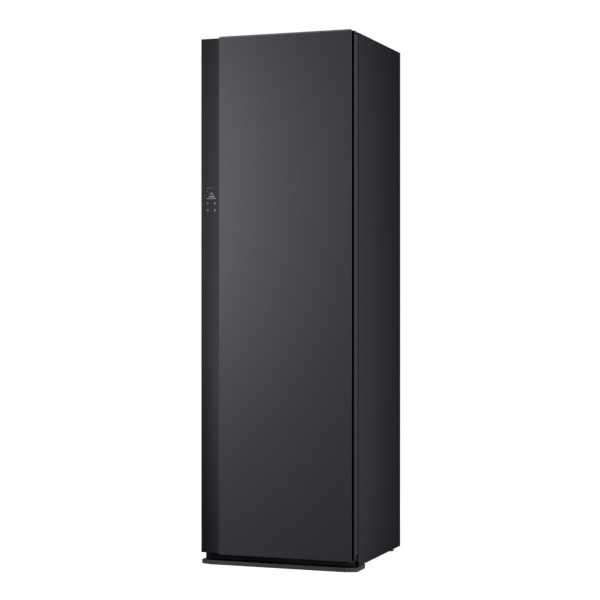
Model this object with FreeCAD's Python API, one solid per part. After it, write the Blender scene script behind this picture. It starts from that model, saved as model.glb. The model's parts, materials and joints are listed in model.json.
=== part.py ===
import FreeCAD, Part
import os
from math import acos, cos, pi, radians, sin, sqrt

# Clothes care steam cabinet.
# Millimetres, +Z up. The origin is on the floor under the middle of the cabinet;
# the door faces -Y and hangs on its right edge (+X).

V = FreeCAD.Vector
X_AXIS = V(1, 0, 0)
Y_AXIS = V(0, 1, 0)
Z_AXIS = V(0, 0, 1)

# ---------------------------------------------------------------- driving dimensions
# Overall size
WIDTH = 600.0
HEIGHT = 1960.0
DEPTH = 620.0               # front glass to back panel

# Clearances
FACE_GAP = 0.3              # between faces that pass or nearly meet
RUN_GAP = 0.05              # radial, shaft in bore

# Door
GLASS_T = 5.0
GLASS_BEVEL = 1.0
GLASS_TOP_BEVEL_H = 5.5     # taller ground edge along the top
GLASS_TOP_BEVEL_T = 1.5
GLASS_RISE = 1.0            # the glass starts this far above the door's lower edge
STRIP_W = 85.8              # control strip left of the glass
STRIP_T = 3.0
STRIP_PROUD = 1.0
CARRIER_T = 31.0            # black stand-off between door frame and glass
CARRIER_INSET = 2.0
CARRIER_WALL = 14.0
CARRIER_RIB = 6.0
CARRIER_RIB_COUNT = 6
GRIP_DEPTH = 22.0           # finger room behind the glass's free edge
DOOR_BOTTOM = 45.5
DOOR_T = 43.0               # door frame, front skin to back
DOOR_RAIL = 38.0
DOOR_SKIN = 4.0
DOOR_EDGE_R = 5.0
DOOR_GAP = 9.0              # door frame to cabinet front
LINER_T = 3.0
RIM_W = 12.0
RIM_PROUD = 21.0
RIM_INSET = 9.0             # rim to the edge of the chamber mouth
RIM_R = 12.0                # inner corner of the rim
GASKET_W = 14.0
GASKET_INSET = 22.0
GASKET_RISE = 48.5          # door's lower edge to the gasket
GASKET_TOP_DROP = 43.0
DISPLAY_W = 60.0
DISPLAY_H = 120.0
DISPLAY_T = 10.0
DISPLAY_Z = 1360.0
DISPLAY_BOARD_T = 2.5
GUIDE_SIDE = 4.0            # light guide to the circuit board's side
GUIDE_END = 6.0

# Door hinge
HINGE_INSET = 20.0          # pin to the door's right edge
HINGE_FORWARD = 25.0        # pin to the door frame's back
PIN_R = 5.0
PIN_LENGTH = 25.0
PIN_COLLAR = 3.0            # collar round the lower pin
ARM_R = 13.0
ARM_EDGE = 4.0              # arm reaches this far past the pin towards the door's edge
ARM_T = 4.0
LEG_W = 50.0
LEG_T = 3.0
LEG_H = 39.0
ARM_TOP_DROP = 3.0
ARM_SLOT_CLEAR = 1.5
LOWER_ARM_DROP = 9.5        # lower arm's underside below the door
LEG_TOP_GAP = 2.0           # lower leg to the gasket

# Cabinet shell
SHEET_T = 1.2
BASE_Z = 18.0
SIDE_FLANGE = 12.0          # side sheets turned in before the back panel
TOP_FLANGE = 14.0           # top sheet turned down at its sides and back
VENT_SIDE = 100.0           # middle of the first louvres to the sheet's edge
VENT_RISE = 100.0
VENT_STEP_X = 104.0
VENT_STEP_Z = 28.0
VENT_W = 84.0
VENT_H = 7.0
VENT_COLUMN_COUNT = 2
VENT_ROW_COUNT = 8
BEAD_COUNT = 4              # stiffening beads pressed across the back sheet
BEAD_SIDE = 40.0
BEAD_TOP_DROP = 100.0
BEAD_H = 16.0
BEAD_DEPTH = 3.0
PAN_WALL_H = 30.0
FRAME_T = 16.0
SIDE_EDGE_R = 0.8
WALL_T = 4.0
WALL_SPACE = 55.0           # cabinet side to chamber
TOP_SPACE = 160.0           # chamber ceiling to cabinet top
BACK_SPACE = 60.0           # chamber back to cabinet back

# Plinth and ledge
PLINTH_T = 7.0
PLINTH_H = 45.0
PLINTH_SPINE_INSET = 6.0
PLINTH_SET = 2.0            # plinth face to the cabinet front
PLINTH_NOTCH_GAP = 2.0      # round the lower hinge
LEDGE_FLOOR_GAP = 1.8
LEDGE_WALL = 3.0
LEDGE_RIB_COUNT = 3
LEDGE_REACH = 38.0          # glass front to ledge front
LEDGE_SIDE_PROUD = 5.0
LEDGE_CORNER_X = 38.0
LEDGE_CORNER_Y = 16.0
LEDGE_BACK = 150.0          # glass front to the ledge's rear end

# Levelling feet
FOOT_R = 12.5
FOOT_H = 14.5
FOOT_EDGE = 1.5
FOOT_HOLE_GAP = 1.0
NUT_FLATS = 17.0
STUD_R = 5.0
STUD_TOP = 50.0
FOOT_BOSS_R = 10.0
FOOT_BOSS_H = 20.0
FRONT_FOOT_SIDE = 50.0      # foot to cabinet side
FRONT_FOOT_SET = 37.0       # foot behind the cabinet front
REAR_FOOT_SIDE = 32.0
REAR_FOOT_SET = 28.0        # foot before the cabinet back

# Tank bay and tanks
BAY_RISE = 94.0             # base to the bay's floor
BAY_H = 301.0
BAY_WALL = 3.0
BAY_DIVIDER = 4.0
BAY_RIB_COUNT = 5
BAY_RIB_H = 12.0
TANK_GAP = 2.0
TANK_SET = 53.0             # cabinet front to tank front
TANK_BACK_GAP = 5.0
TANK_HEADROOM = 12.7        # filler cap to the bay's top
TANK_WALL = 3.0
TANK_R = 14.0
LID_T = 10.0
LID_LIP = 4.0
CAP_R = 22.0
CAP_H = 8.0
CAP_RIM = 4.0
CAP_POCKET = 4.0
CAP_BAR = 7.0               # grip bar left between the cap's two pockets
TANK_GRIP_W = 110.0
TANK_GRIP_H = 46.0
TANK_GRIP_DEPTH = 26.0
TANK_GRIP_DROP = 30.0

# Air duct under the chamber, heat exchangers and fan
DUCT_H = 90.0               # bay top to chamber floor
DUCT_BACK_GAP = 3.0
COIL_H = 76.0
COIL_SIDE = 34.0            # coil end to chamber side
COIL_T = 46.0
COIL_SET = 116.0            # front frame to the first coil
COIL_SPACE = 24.0
COIL_CORE = 14.0            # solid middle that stands for the tube rows
COIL_PLATE = 2.0
COIL_TUBE_R = 4.0
COIL_TUBE_COUNT = 3
COIL_TUBE_END = 15.0        # outer tubes to the coil's top and bottom
COIL_STUB = 12.0
FIN_T = 4.0
FIN_COUNT = 16
FAN_X = 0.0
FAN_SET = 100.0             # fan before the chamber back
FAN_R = 52.0
FAN_H = 52.0
FAN_BLADE_COUNT = 22
BLADE_T = 1.6
BLADE_DEPTH = 9.0
BLADE_SET = 0.5             # blades inside the rotor's rim
BLADE_LEAN = 25.0           # degrees
ROTOR_DISC_T = 2.5
ROTOR_RIM_T = 3.0
ROTOR_GAP = 6.0             # rotor to the housing's floor and roof
SCROLL_GAP = 8.0            # rotor to the scroll where it starts
SCROLL_STEP = 10.0          # the scroll's radius grows by this each quarter turn
SCROLL_WALL = 3.0
TONGUE_T = 2.0
FAN_SHAFT_R = 4.0
FAN_HUB_R = 12.0
FAN_MOTOR_R = 42.0
FAN_MOTOR_H = 60.0
CAN_BEVEL = 4.0
CAN_SHAFT_SHY = 2.0         # shaft end below the rotor hub's top
OUTLET_L = 55.0             # outlet under the chamber floor, front to back
SLIT_W = 5.0
SLIT_END = 3.0
SLIT_COUNT = 6

# Lint filter and aroma cartridge in the chamber floor
FILTER_SIDE = 135.0         # filter's middle to the chamber side
FLOOR_SLOT_SET = 51.0       # front frame to the middle of both floor slots
FILTER_W = 190.0
FILTER_T = 14.0
FILTER_DEPTH = 74.0
FILTER_BAR = 7.0
FILTER_RIB_COUNT = 5
FILTER_RIB_T = 3.0
FILTER_RIB_SET = 3.0        # ribs behind the frame's faces
MESH_T = 1.0
FILTER_FLANGE = 6.0
FILTER_CAP_H = 5.0
FILTER_GRIP_W = 60.0
FILTER_GRIP_H = 12.0
FILTER_GRIP_T = 6.0
FILTER_GRIP_R = 2.0
FLOOR_CAP_R = 4.0           # corners of the filter's and the cartridge's caps
FLOOR_CAP_SINK = 1.0        # neck let into the piece below it
AROMA_SIDE = 95.0
AROMA_W = 70.0
AROMA_D = 34.0
AROMA_DEPTH = 38.0
AROMA_SLOT_COUNT = 5
AROMA_SLOT_W = 3.0
AROMA_SLOT_SIDE = 6.0
AROMA_SLOT_END = 5.0

# Steam generator, nozzle and hose
BOILER_SIDE = 90.0          # boiler's middle to the chamber side
BOILER_SET = 140.0          # boiler's middle before the chamber back
BOILER_W = 140.0
BOILER_D = 130.0
BOILER_H = 130.0
BOILER_BASE = 60.0
BOILER_R = 16.0
BOILER_LEG = 12.0
BOILER_FLANGE = 6.0
BOILER_FLANGE_T = 8.0
BOILER_RIB_COUNT = 5
BOILER_RIB_T = 3.0
BOILER_RIB_H = 5.0
BOILER_SPOUT = 14.0
BOILER_SPOUT_WALL = 2.0
BOILER_SPOUT_DROP = 26.0
HOSE_R = 7.0
HOSE_BEND = 28.0
HOSE_SET = 30.0             # hose before the cabinet back
NOZZLE_RISE = 72.0
NOZZLE_R = 24.0
NOZZLE_PROUD = 16.0
NOZZLE_FACE_R = 17.0
NOZZLE_SLOT_COUNT = 3
NOZZLE_SLOT_L = 22.0
NOZZLE_SLOT_H = 3.0
NOZZLE_SLOT_STEP = 7.0
NOZZLE_WALL = 3.0

# Machine room: compressor, pump, control box, power inlet
MACHINE_D = 262.0           # tank bay to the chamber's back plane
COMPRESSOR_SIDE = 95.0
COMPRESSOR_SET = 110.0
COMPRESSOR_R = 60.0
COMPRESSOR_H = 190.0
COMPRESSOR_LIFT = 12.0
COMPRESSOR_DOME = 28.0      # radius where the can's wall turns into its lid
COMPRESSOR_PLATE_SIDE = 20.0
COMPRESSOR_PLATE_T = 4.0
COMPRESSOR_PLATE_R = 12.0
WELD_PROUD = 2.0
WELD_H = 6.0
TERMINAL_W = 46.0           # terminal cover on the can's back
TERMINAL_H = 52.0
TERMINAL_PROUD = 16.0
TERMINAL_RISE = 42.0
PIPE_STUB_R = 4.0
PIPE_STUB_L = 14.0
PIPE_STUB_RISE = 30.0
PIPE_STUB_STEP = 90.0
MOUNT_R = 14.0
PUMP_X = -20.0
PUMP_SET = 82.0             # behind the tank bay
PUMP_R = 24.0
PUMP_L = 70.0
PUMP_LIFT = 6.0
PUMP_SPOUT_R = 5.0
PUMP_SPOUT_H = 12.0
BOARD_SET = 100.0
BOARD_D = 240.0
BOARD_H = 280.0
BOARD_T = 32.0
BOARD_Z = 90.0
BOARD_R = 6.0
INLET_SIDE = 85.0
INLET_Z = 110.0
INLET_W = 50.0
INLET_H = 40.0
INLET_DEPTH = 24.0
INLET_FLANGE = 5.0
INLET_FLANGE_T = 3.0
INLET_R = 9.0
CABLE_BORE_R = 5.0

# Moving hanger drive above the ceiling
STROKE = 12.0               # each way
BAR_R = 9.0
BAR_DROP = 70.0             # ceiling to the bar's middle
BAR_HALF = 205.0
BAR_STOP_R = 13.0
BAR_STOP_T = 8.0
STEM_R = 7.0
STEM_X = 82.0
STEM_SLOT_GAP = 2.0
RAIL_PLATE_T = 3.0
RAIL_R = 6.0
RAIL_SPREAD = 50.0
RAIL_RISE = 26.0            # rod centre above the rail plate
RAIL_HALF = 133.0
POST_T = 12.0
POST_W = 20.0
TOP_PLATE_RISE = 57.0
TOP_PLATE_T = 4.0
SHUTTLE_HALF = 96.0
SHUTTLE_T = 22.0
SHUTTLE_SIDE = 16.0
SHUTTLE_R = 8.0
YOKE_WINDOW_X = 50.0
YOKE_WINDOW_W = 36.0
YOKE_WINDOW_REACH = 34.0
YOKE_WEB = 4.0              # left round the stems
YOKE_SLOT_END = 1.0
ECCENTRIC = 25.0            # pin to shaft
CRANK_PIN_R = 5.0
CRANK_PIN_GRIP = 18.0
SLOT_CLEAR = 0.3
PULLEY_T = 15.0
PULLEY_DROP = 4.0           # pulley top below the top plate
PULLEY_FLANGE = 3.0
PULLEY_WINDOW_R = 6.0
PULLEY_WINDOW_SET = 26.0
SHAFT_END = 1.0             # shafts reach this far out of their pulleys
SHAFT_HOLE_GAP = 2.0
DRIVEN_R = 40.0
DRIVER_R = 14.0
BELT_T = 2.0
SHAFT_R = 6.0
MOTOR_SHAFT_R = 4.0
MOTOR_X = -175.0
MOTOR_R = 32.0
MOTOR_H = 62.0
PLATE_MARGIN = 42.0

# Clothes hangers
HANGER_X = 42.0
HOOK_R = 12.0
HOOK_WIRE = 2.4
HOOK_OPEN = 200.0           # where the hook's tip stands, degrees round the bar
HOOK_TANGENT = 35.0
HANGER_HALF = 190.0
HANGER_DROP = 128.0
HANGER_T = 12.0
HANGER_H = 16.0
HANGER_NECK = 9.0
HANGER_CROWN_X = 104.0      # where the shoulder's upper curve is set out
HANGER_CROWN_DROP = 28.5
HANGER_SAG_X = 95.0         # and its lower one
HANGER_NECK_LAP = 4.0       # shoulder's top above the neck's foot
HANGER_NECK_H = 24.0
HANGER_NECK_R = 3.0
HANGER_NECK_TOP = 2.0       # neck moulded up round the hook's wire

# Shelf
SHELF_RISE = 187.0          # chamber floor to shelf
SHELF_FRONT_GAP = 76.0      # front frame to shelf
SHELF_BACK_GAP = 25.0
SHELF_SIDE_GAP = 5.0
SHELF_BAR = 7.0
SHELF_SLAT_W = 5.0
SHELF_SLAT_H = 4.0
SHELF_SLAT_COUNT = 13
PEG_R = 6.0
PEG_L = 12.0
PEG_MARGIN = 40.0

# Grooves pressed into the chamber's walls
GROOVE_W = 10.0
GROOVE_DEPTH = 1.5
GROOVE_RISE = 110.0         # above the chamber floor, clear of the nozzle
GROOVE_TOP_DROP = 60.0
REAR_GROOVE_COUNT = 5
SIDE_GROOVE_COUNT = 4

# Trouser press on the door liner
PRESS_W = 364.0
PRESS_X = -2.0
PRESS_RISE = 277.0          # chamber floor to the board
PRESS_H = 650.0
PRESS_BASE_T = 12.0
PRESS_SLOT_ROW_COUNT = 9    # steam slots through the plate, in two columns
PRESS_SLOT_W = 110.0
PRESS_SLOT_H = 6.0
PRESS_SLOT_END = 60.0
PLATE_T = 12.0
PLATE_SIDE = 20.0
PLATE_END = 14.0
PLATE_R = 8.0
KNUCKLE_R = 6.0
KNUCKLE_SIDE = 2.0          # knuckle to the board's edge
KNUCKLE_LIFT = 1.0
KNUCKLE_WEB = 4.0
KNUCKLE_FOOT = 3.0
PLATE_HINGE_GAP = 1.0
KNUCKLE_PIN_R = 2.5
KNUCKLE_H = 60.0
KNUCKLE_END = 60.0
LATCH_R = 9.0
LATCH_L = 30.0
LATCH_W = 14.0
LATCH_T = 4.0
LATCH_PIN_R = 3.0
LATCH_POST_SET = 2.0        # post's radius below the latch's
LATCH_PIN_END = 1.0

# ---------------------------------------------------------------- planes worked out
FRONT_Y = -DEPTH / 2
BACK_Y = DEPTH / 2
HALF_W = WIDTH / 2
GLASS_BACK_Y = FRONT_Y + GLASS_T
DOOR_FRONT_Y = GLASS_BACK_Y + CARRIER_T
DOOR_BACK_Y = DOOR_FRONT_Y + DOOR_T
BODY_FRONT_Y = DOOR_BACK_Y + DOOR_GAP
FRAME_BACK_Y = BODY_FRONT_Y + FRAME_T
GLASS_LEFT = -HALF_W + STRIP_W
CARRIER_LEFT = GLASS_LEFT + GRIP_DEPTH
INNER_W = HALF_W - SHEET_T
GASKET_END = DOOR_BOTTOM + GASKET_RISE
PAN_TOP = BASE_Z + SHEET_T
TOP_UNDER = HEIGHT - SHEET_T
CHAMBER_HALF_W = HALF_W - WALL_SPACE
CHAMBER_CEILING = HEIGHT - TOP_SPACE
CHAMBER_BACK = BACK_Y - BACK_SPACE
BAY_BOTTOM = BASE_Z + BAY_RISE
BAY_TOP = BAY_BOTTOM + BAY_H
CHAMBER_FLOOR = BAY_TOP + DUCT_H
FLOOR_UNDER = CHAMBER_FLOOR - WALL_T
CEILING_TOP = CHAMBER_CEILING + WALL_T
TANK_FRONT = BODY_FRONT_Y + TANK_SET
BAY_BACK = CHAMBER_BACK - MACHINE_D
TANK_BACK = BAY_BACK - BAY_WALL - TANK_BACK_GAP
TANK_H = BAY_H - FACE_GAP - LID_T - CAP_H - TANK_HEADROOM
DUCT_BACK = CHAMBER_BACK - DUCT_BACK_GAP
DUCT_FLOOR = BAY_TOP + SHEET_T
ROTOR_Z = DUCT_FLOOR + ROTOR_GAP
GROOVE_BOTTOM = CHAMBER_FLOOR + GROOVE_RISE
GROOVE_TOP = CHAMBER_CEILING - GROOVE_TOP_DROP
EVAPORATOR_Y = FRAME_BACK_Y + COIL_SET
CONDENSER_Y = EVAPORATOR_Y + COIL_T + COIL_SPACE
FAN_Y = CHAMBER_BACK - FAN_SET
FLOOR_SLOT_Y = FRAME_BACK_Y + FLOOR_SLOT_SET
FILTER_X = CHAMBER_HALF_W - FILTER_SIDE
AROMA_X = AROMA_SIDE - CHAMBER_HALF_W
BOILER_X = BOILER_SIDE - CHAMBER_HALF_W
BOILER_Y = CHAMBER_BACK - BOILER_SET
HOSE_Y = BACK_Y - HOSE_SET
NOZZLE_Z = CHAMBER_FLOOR + NOZZLE_RISE
COMPRESSOR_X = CHAMBER_HALF_W - COMPRESSOR_SIDE
COMPRESSOR_Y = CHAMBER_BACK - COMPRESSOR_SET
PUMP_Y = BAY_BACK + PUMP_SET
BOARD_Y = CHAMBER_BACK - BOARD_SET
INLET_X = INLET_SIDE - HALF_W
HANG_Y = (FRAME_BACK_Y + CHAMBER_BACK) / 2
BAR_Z = CHAMBER_CEILING - BAR_DROP
SHELF_Z = CHAMBER_FLOOR + SHELF_RISE
SHELF_FRONT = FRAME_BACK_Y + SHELF_FRONT_GAP
SHELF_BACK = CHAMBER_BACK - SHELF_BACK_GAP
PRESS_LEFT = PRESS_X - PRESS_W / 2
PRESS_RIGHT = PRESS_X + PRESS_W / 2
PRESS_BOTTOM = CHAMBER_FLOOR + PRESS_RISE
PRESS_TOP = PRESS_BOTTOM + PRESS_H
LATCH_Z = (PRESS_BOTTOM + PRESS_TOP) / 2
PINX = HALF_W - HINGE_INSET
PINY = DOOR_BACK_Y - HINGE_FORWARD
LINER_FACE_Y = DOOR_BACK_Y
PRESS_FACE_Y = LINER_FACE_Y + PRESS_BASE_T
PLATE_FACE_Y = PRESS_FACE_Y + FACE_GAP + PLATE_T
RAIL_TOP = CEILING_TOP + RAIL_PLATE_T
ROD_Z = RAIL_TOP + RAIL_RISE
TOP_PLATE_Z = RAIL_TOP + TOP_PLATE_RISE
PULLEY_TOP = TOP_PLATE_Z - PULLEY_DROP
PULLEY_BOTTOM = PULLEY_TOP - PULLEY_T


# ---------------------------------------------------------------- helpers
def block(x0, x1, y0, y1, z0, z1):
    """Box between two corners."""
    return Part.makeBox(x1 - x0, y1 - y0, z1 - z0, V(x0, y0, z0))


def rod(radius, start, end):
    """Round bar from one point to another."""
    run = end.sub(start)
    return Part.makeCylinder(radius, run.Length, start, run)


def upright(radius, x, y, z0, z1):
    """Round bar standing along Z."""
    return Part.makeCylinder(radius, z1 - z0, V(x, y, z0), Z_AXIS)


def joined(first, *rest):
    """One solid out of touching or crossing solids."""
    return first.fuse(list(rest)).removeSplitter()


def without(shape, *cutters):
    """A shape with others cut away."""
    return shape.cut(list(cutters))


def edges_along(shape, direction):
    """Straight edges that run in one direction."""
    found = []
    for edge in shape.Edges:
        straight = edge.Curve.TypeId == "Part::GeomLine"
        if straight and abs(edge.tangentAt(edge.FirstParameter).dot(direction)) > 0.999:
            found.append(edge)
    return found


def edges_on(shape, axis, level):
    """Edges that lie wholly in the plane where axis has this value."""
    found = []
    for edge in shape.Edges:
        levels = [vertex.Point.dot(axis) for vertex in edge.Vertexes]
        if all(abs(value - level) < 1e-6 for value in levels):
            found.append(edge)
    return found


def rounded(shape, radius, direction):
    """A block with its four edges along one direction rounded."""
    return shape.makeFillet(radius, edges_along(shape, direction))


def prism(points, run):
    """Straight extrusion of a closed outline."""
    outline = Part.makePolygon(list(points) + [points[0]])
    return Part.Face(outline).extrude(run)


def bend(radius, start, run, middle, axis, angle):
    """Curved stretch of a round wire or hose that leaves a point along run and turns about an axis."""
    section = Part.Face(Part.Wire([Part.makeCircle(radius, start, run)]))
    return section.revolve(middle, axis, angle)


def spaced(first, last, count):
    """Evenly spaced places from first to last."""
    step = (last - first) / (count - 1)
    return [first + step * index for index in range(count)]


# ---------------------------------------------------------------- door
def door_glass():
    """Full-height glass panel with a fine bevel round its front and a taller one along the top."""
    slab = block(GLASS_LEFT, HALF_W, FRONT_Y, GLASS_BACK_Y, DOOR_BOTTOM + GLASS_RISE, HEIGHT)
    slab = slab.makeChamfer(GLASS_BEVEL, edges_on(slab, Y_AXIS, FRONT_Y))
    ground_off = prism([
        V(GLASS_LEFT, FRONT_Y, HEIGHT - GLASS_TOP_BEVEL_H), V(GLASS_LEFT, FRONT_Y, HEIGHT),
        V(GLASS_LEFT, FRONT_Y + GLASS_TOP_BEVEL_T, HEIGHT)], V(HALF_W - GLASS_LEFT, 0, 0))
    return without(slab, ground_off)


def glass_carrier():
    """Ribbed black moulding that holds the glass off the door frame."""
    right = HALF_W - CARRIER_INSET
    bottom = DOOR_BOTTOM + GLASS_RISE + CARRIER_INSET
    top = HEIGHT - CARRIER_INSET
    body = block(CARRIER_LEFT, right, GLASS_BACK_Y, DOOR_FRONT_Y, bottom, top)
    hollow = block(
        CARRIER_LEFT + CARRIER_WALL, right - CARRIER_WALL, GLASS_BACK_Y, DOOR_FRONT_Y,
        bottom + CARRIER_WALL, top - CARRIER_WALL)
    body = without(body, hollow)
    levels = spaced(bottom, top, CARRIER_RIB_COUNT + 2)[1:-1]
    ribs = [
        block(CARRIER_LEFT, right, GLASS_BACK_Y, DOOR_FRONT_Y, z - CARRIER_RIB / 2, z + CARRIER_RIB / 2)
        for z in levels]
    return joined(body, *ribs)


def control_strip():
    """Glass strip with the touch controls, recessed beside the main glass."""
    front = DOOR_FRONT_Y - STRIP_PROUD
    return block(-HALF_W, CARRIER_LEFT, front, front + STRIP_T, DOOR_BOTTOM, HEIGHT)


def display_place():
    """Lower and upper corners of the display behind the strip."""
    x0 = -HALF_W + (STRIP_W - DISPLAY_W) / 2
    y0 = DOOR_FRONT_Y - STRIP_PROUD + STRIP_T
    return x0, x0 + DISPLAY_W, y0, y0 + DISPLAY_T, DISPLAY_Z - DISPLAY_H / 2, DISPLAY_Z + DISPLAY_H / 2


def display_module():
    """Light-guide block with its circuit board behind it."""
    x0, x1, y0, y1, z0, z1 = display_place()
    board = block(x0, x1, y1 - DISPLAY_BOARD_T, y1, z0, z1)
    guide = block(
        x0 + GUIDE_SIDE, x1 - GUIDE_SIDE, y0, y1 - DISPLAY_BOARD_T, z0 + GUIDE_END, z1 - GUIDE_END)
    return joined(guide, board)


def hinge_arm(z0, z1):
    """Flat arm with a round end about the hinge pin, narrow towards the door's edge."""
    return joined(
        upright(ARM_R, PINX, PINY, z0, z1),
        block(PINX - ARM_R, PINX + ARM_EDGE, PINY, BODY_FRONT_Y, z0, z1))


def upper_arm_levels():
    """Underside and top of the upper hinge arm."""
    top = HEIGHT - ARM_TOP_DROP
    return top - ARM_T, top


def door_frame():
    """Moulded door frame with a front skin, hollow behind it for the liner."""
    frame = block(-HALF_W, HALF_W, DOOR_FRONT_Y, DOOR_BACK_Y, DOOR_BOTTOM, HEIGHT)
    back_edges = [
        edge for edge in edges_along(frame, Z_AXIS)
        if abs(edge.Vertexes[0].Point.y - DOOR_BACK_Y) < 1e-6]
    frame = frame.makeFillet(DOOR_EDGE_R, back_edges)
    hollow = block(
        -HALF_W + DOOR_RAIL, HALF_W - DOOR_RAIL, DOOR_FRONT_Y + DOOR_SKIN, DOOR_BACK_Y,
        DOOR_BOTTOM + DOOR_RAIL, HEIGHT - DOOR_RAIL)
    strip_seat = block(
        -HALF_W, CARRIER_LEFT, DOOR_FRONT_Y, DOOR_FRONT_Y - STRIP_PROUD + STRIP_T, DOOR_BOTTOM, HEIGHT)
    x0, x1, y0, y1, z0, z1 = display_place()
    display_pocket = block(x0, x1, y0, y1, z0, z1)
    arm_z0, arm_z1 = upper_arm_levels()
    arm_slot = block(
        PINX - ARM_R - ARM_SLOT_CLEAR, HALF_W, PINY - ARM_R - ARM_SLOT_CLEAR, DOOR_BACK_Y,
        arm_z0 - ARM_SLOT_CLEAR, arm_z1 + ARM_SLOT_CLEAR)
    bore = PIN_R + RUN_GAP
    upper_bore = upright(bore, PINX, PINY, arm_z0 - PIN_LENGTH - ARM_SLOT_CLEAR, arm_z0)
    lower_bore = upright(bore, PINX, PINY, DOOR_BOTTOM, DOOR_BOTTOM + PIN_LENGTH + ARM_SLOT_CLEAR)
    return without(frame, hollow, strip_seat, display_pocket, arm_slot, upper_bore, lower_bore)


def rim_corners():
    """Left, right, bottom and top of the liner's raised rim, inside the chamber mouth."""
    side = CHAMBER_HALF_W - RIM_INSET
    return -side, side, CHAMBER_FLOOR + RIM_INSET, CHAMBER_CEILING - RIM_INSET


def door_liner():
    """Inner liner that closes the frame, with a raised rim that enters the chamber mouth."""
    side = HALF_W - DOOR_RAIL
    plate = block(
        -side, side, LINER_FACE_Y - LINER_T, LINER_FACE_Y,
        DOOR_BOTTOM + DOOR_RAIL, HEIGHT - DOOR_RAIL)
    x0, x1, z0, z1 = rim_corners()
    outer = rounded(block(x0, x1, LINER_FACE_Y, LINER_FACE_Y + RIM_PROUD, z0, z1), RIM_R + RIM_W / 2, Y_AXIS)
    inner = rounded(
        block(x0 + RIM_W, x1 - RIM_W, LINER_FACE_Y, LINER_FACE_Y + RIM_PROUD, z0 + RIM_W, z1 - RIM_W),
        RIM_R, Y_AXIS)
    return joined(plate, without(outer, inner))


def door_gasket():
    """Soft magnetic gasket round the back of the door."""
    side = HALF_W - GASKET_INSET
    y0 = DOOR_BACK_Y
    y1 = BODY_FRONT_Y - FACE_GAP
    top = HEIGHT - GASKET_TOP_DROP
    outer = block(-side, side, y0, y1, GASKET_END, top)
    inner = block(-side + GASKET_W, side - GASKET_W, y0, y1, GASKET_END + GASKET_W, top - GASKET_W)
    return without(outer, inner)


# ---------------------------------------------------------------- trouser press
def press_axis():
    """Middle of the press plate's hinge in plan."""
    return PRESS_RIGHT - KNUCKLE_R - KNUCKLE_SIDE, PRESS_FACE_Y + KNUCKLE_R + KNUCKLE_LIFT


def knuckle_bands():
    """Heights of the press hinge knuckles: outer pair on the base, middle on the plate."""
    plate_low = PRESS_BOTTOM + KNUCKLE_END + KNUCKLE_H
    plate_high = PRESS_TOP - KNUCKLE_END - KNUCKLE_H
    low = (PRESS_BOTTOM + KNUCKLE_END, plate_low)
    high = (plate_high, PRESS_TOP - KNUCKLE_END)
    middle = (plate_low + FACE_GAP, plate_high - FACE_GAP)
    return low, high, middle


def press_base():
    """Padded board on the liner, with half of the hinge and the latch post."""
    hinge_x, hinge_y = press_axis()
    low, high, _ = knuckle_bands()
    board = block(PRESS_LEFT, PRESS_RIGHT, LINER_FACE_Y, PRESS_FACE_Y, PRESS_BOTTOM, PRESS_TOP)
    board = rounded(board, PLATE_R, Y_AXIS)
    pieces = []
    for z0, z1 in (low, high):
        pieces.append(upright(KNUCKLE_R, hinge_x, hinge_y, z0, z1))
        pieces.append(block(
            hinge_x - KNUCKLE_FOOT, hinge_x + KNUCKLE_R, PRESS_FACE_Y, hinge_y, z0, z1))
    pieces.append(upright(KNUCKLE_PIN_R, hinge_x, hinge_y, low[0], high[1]))
    latch_x = PRESS_LEFT + LATCH_R
    post_top = PLATE_FACE_Y
    pieces.append(rod(
        LATCH_R - LATCH_POST_SET, V(latch_x, PRESS_FACE_Y, LATCH_Z), V(latch_x, post_top, LATCH_Z)))
    pieces.append(rod(
        LATCH_PIN_R, V(latch_x, post_top, LATCH_Z),
        V(latch_x, post_top + FACE_GAP + LATCH_T + LATCH_PIN_END, LATCH_Z)))
    return joined(board, *pieces)


def press_plate():
    """Hinged plate that flattens the trousers against the base, slotted for the steam."""
    hinge_x, hinge_y = press_axis()
    _, _, middle = knuckle_bands()
    y0 = PRESS_FACE_Y + FACE_GAP
    x0 = PRESS_LEFT + PLATE_SIDE
    x1 = hinge_x - KNUCKLE_R - PLATE_HINGE_GAP
    plate = block(x0, x1, y0, PLATE_FACE_Y, PRESS_BOTTOM + PLATE_END, PRESS_TOP - PLATE_END)
    plate = rounded(plate, PLATE_R, Y_AXIS)
    knuckle = upright(KNUCKLE_R, hinge_x, hinge_y, *middle)
    web = block(
        x1 - PLATE_HINGE_GAP, hinge_x, hinge_y - KNUCKLE_WEB / 2, hinge_y + KNUCKLE_WEB / 2, *middle)
    bore = upright(KNUCKLE_PIN_R + RUN_GAP, hinge_x, hinge_y, *middle)
    slots = []
    for x in ((3 * x0 + x1) / 4, (x0 + 3 * x1) / 4):
        for z in spaced(PRESS_BOTTOM + PRESS_SLOT_END, PRESS_TOP - PRESS_SLOT_END, PRESS_SLOT_ROW_COUNT):
            slots.append(block(
                x - PRESS_SLOT_W / 2, x + PRESS_SLOT_W / 2, y0, PLATE_FACE_Y,
                z - PRESS_SLOT_H / 2, z + PRESS_SLOT_H / 2))
    return without(joined(plate, knuckle, web), bore, *slots)


def press_latch():
    """Turn button that holds the plate shut; shown released, pointing up."""
    latch_x = PRESS_LEFT + LATCH_R
    y0 = PLATE_FACE_Y + FACE_GAP
    y1 = y0 + LATCH_T
    tip_z = LATCH_Z + LATCH_L
    body = joined(
        rod(LATCH_R, V(latch_x, y0, LATCH_Z), V(latch_x, y1, LATCH_Z)),
        block(latch_x - LATCH_W / 2, latch_x + LATCH_W / 2, y0, y1, LATCH_Z, tip_z),
        rod(LATCH_W / 2, V(latch_x, y0, tip_z), V(latch_x, y1, tip_z)))
    bore = rod(LATCH_PIN_R + RUN_GAP, V(latch_x, y0, LATCH_Z), V(latch_x, y1, LATCH_Z))
    return without(body, bore)


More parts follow.
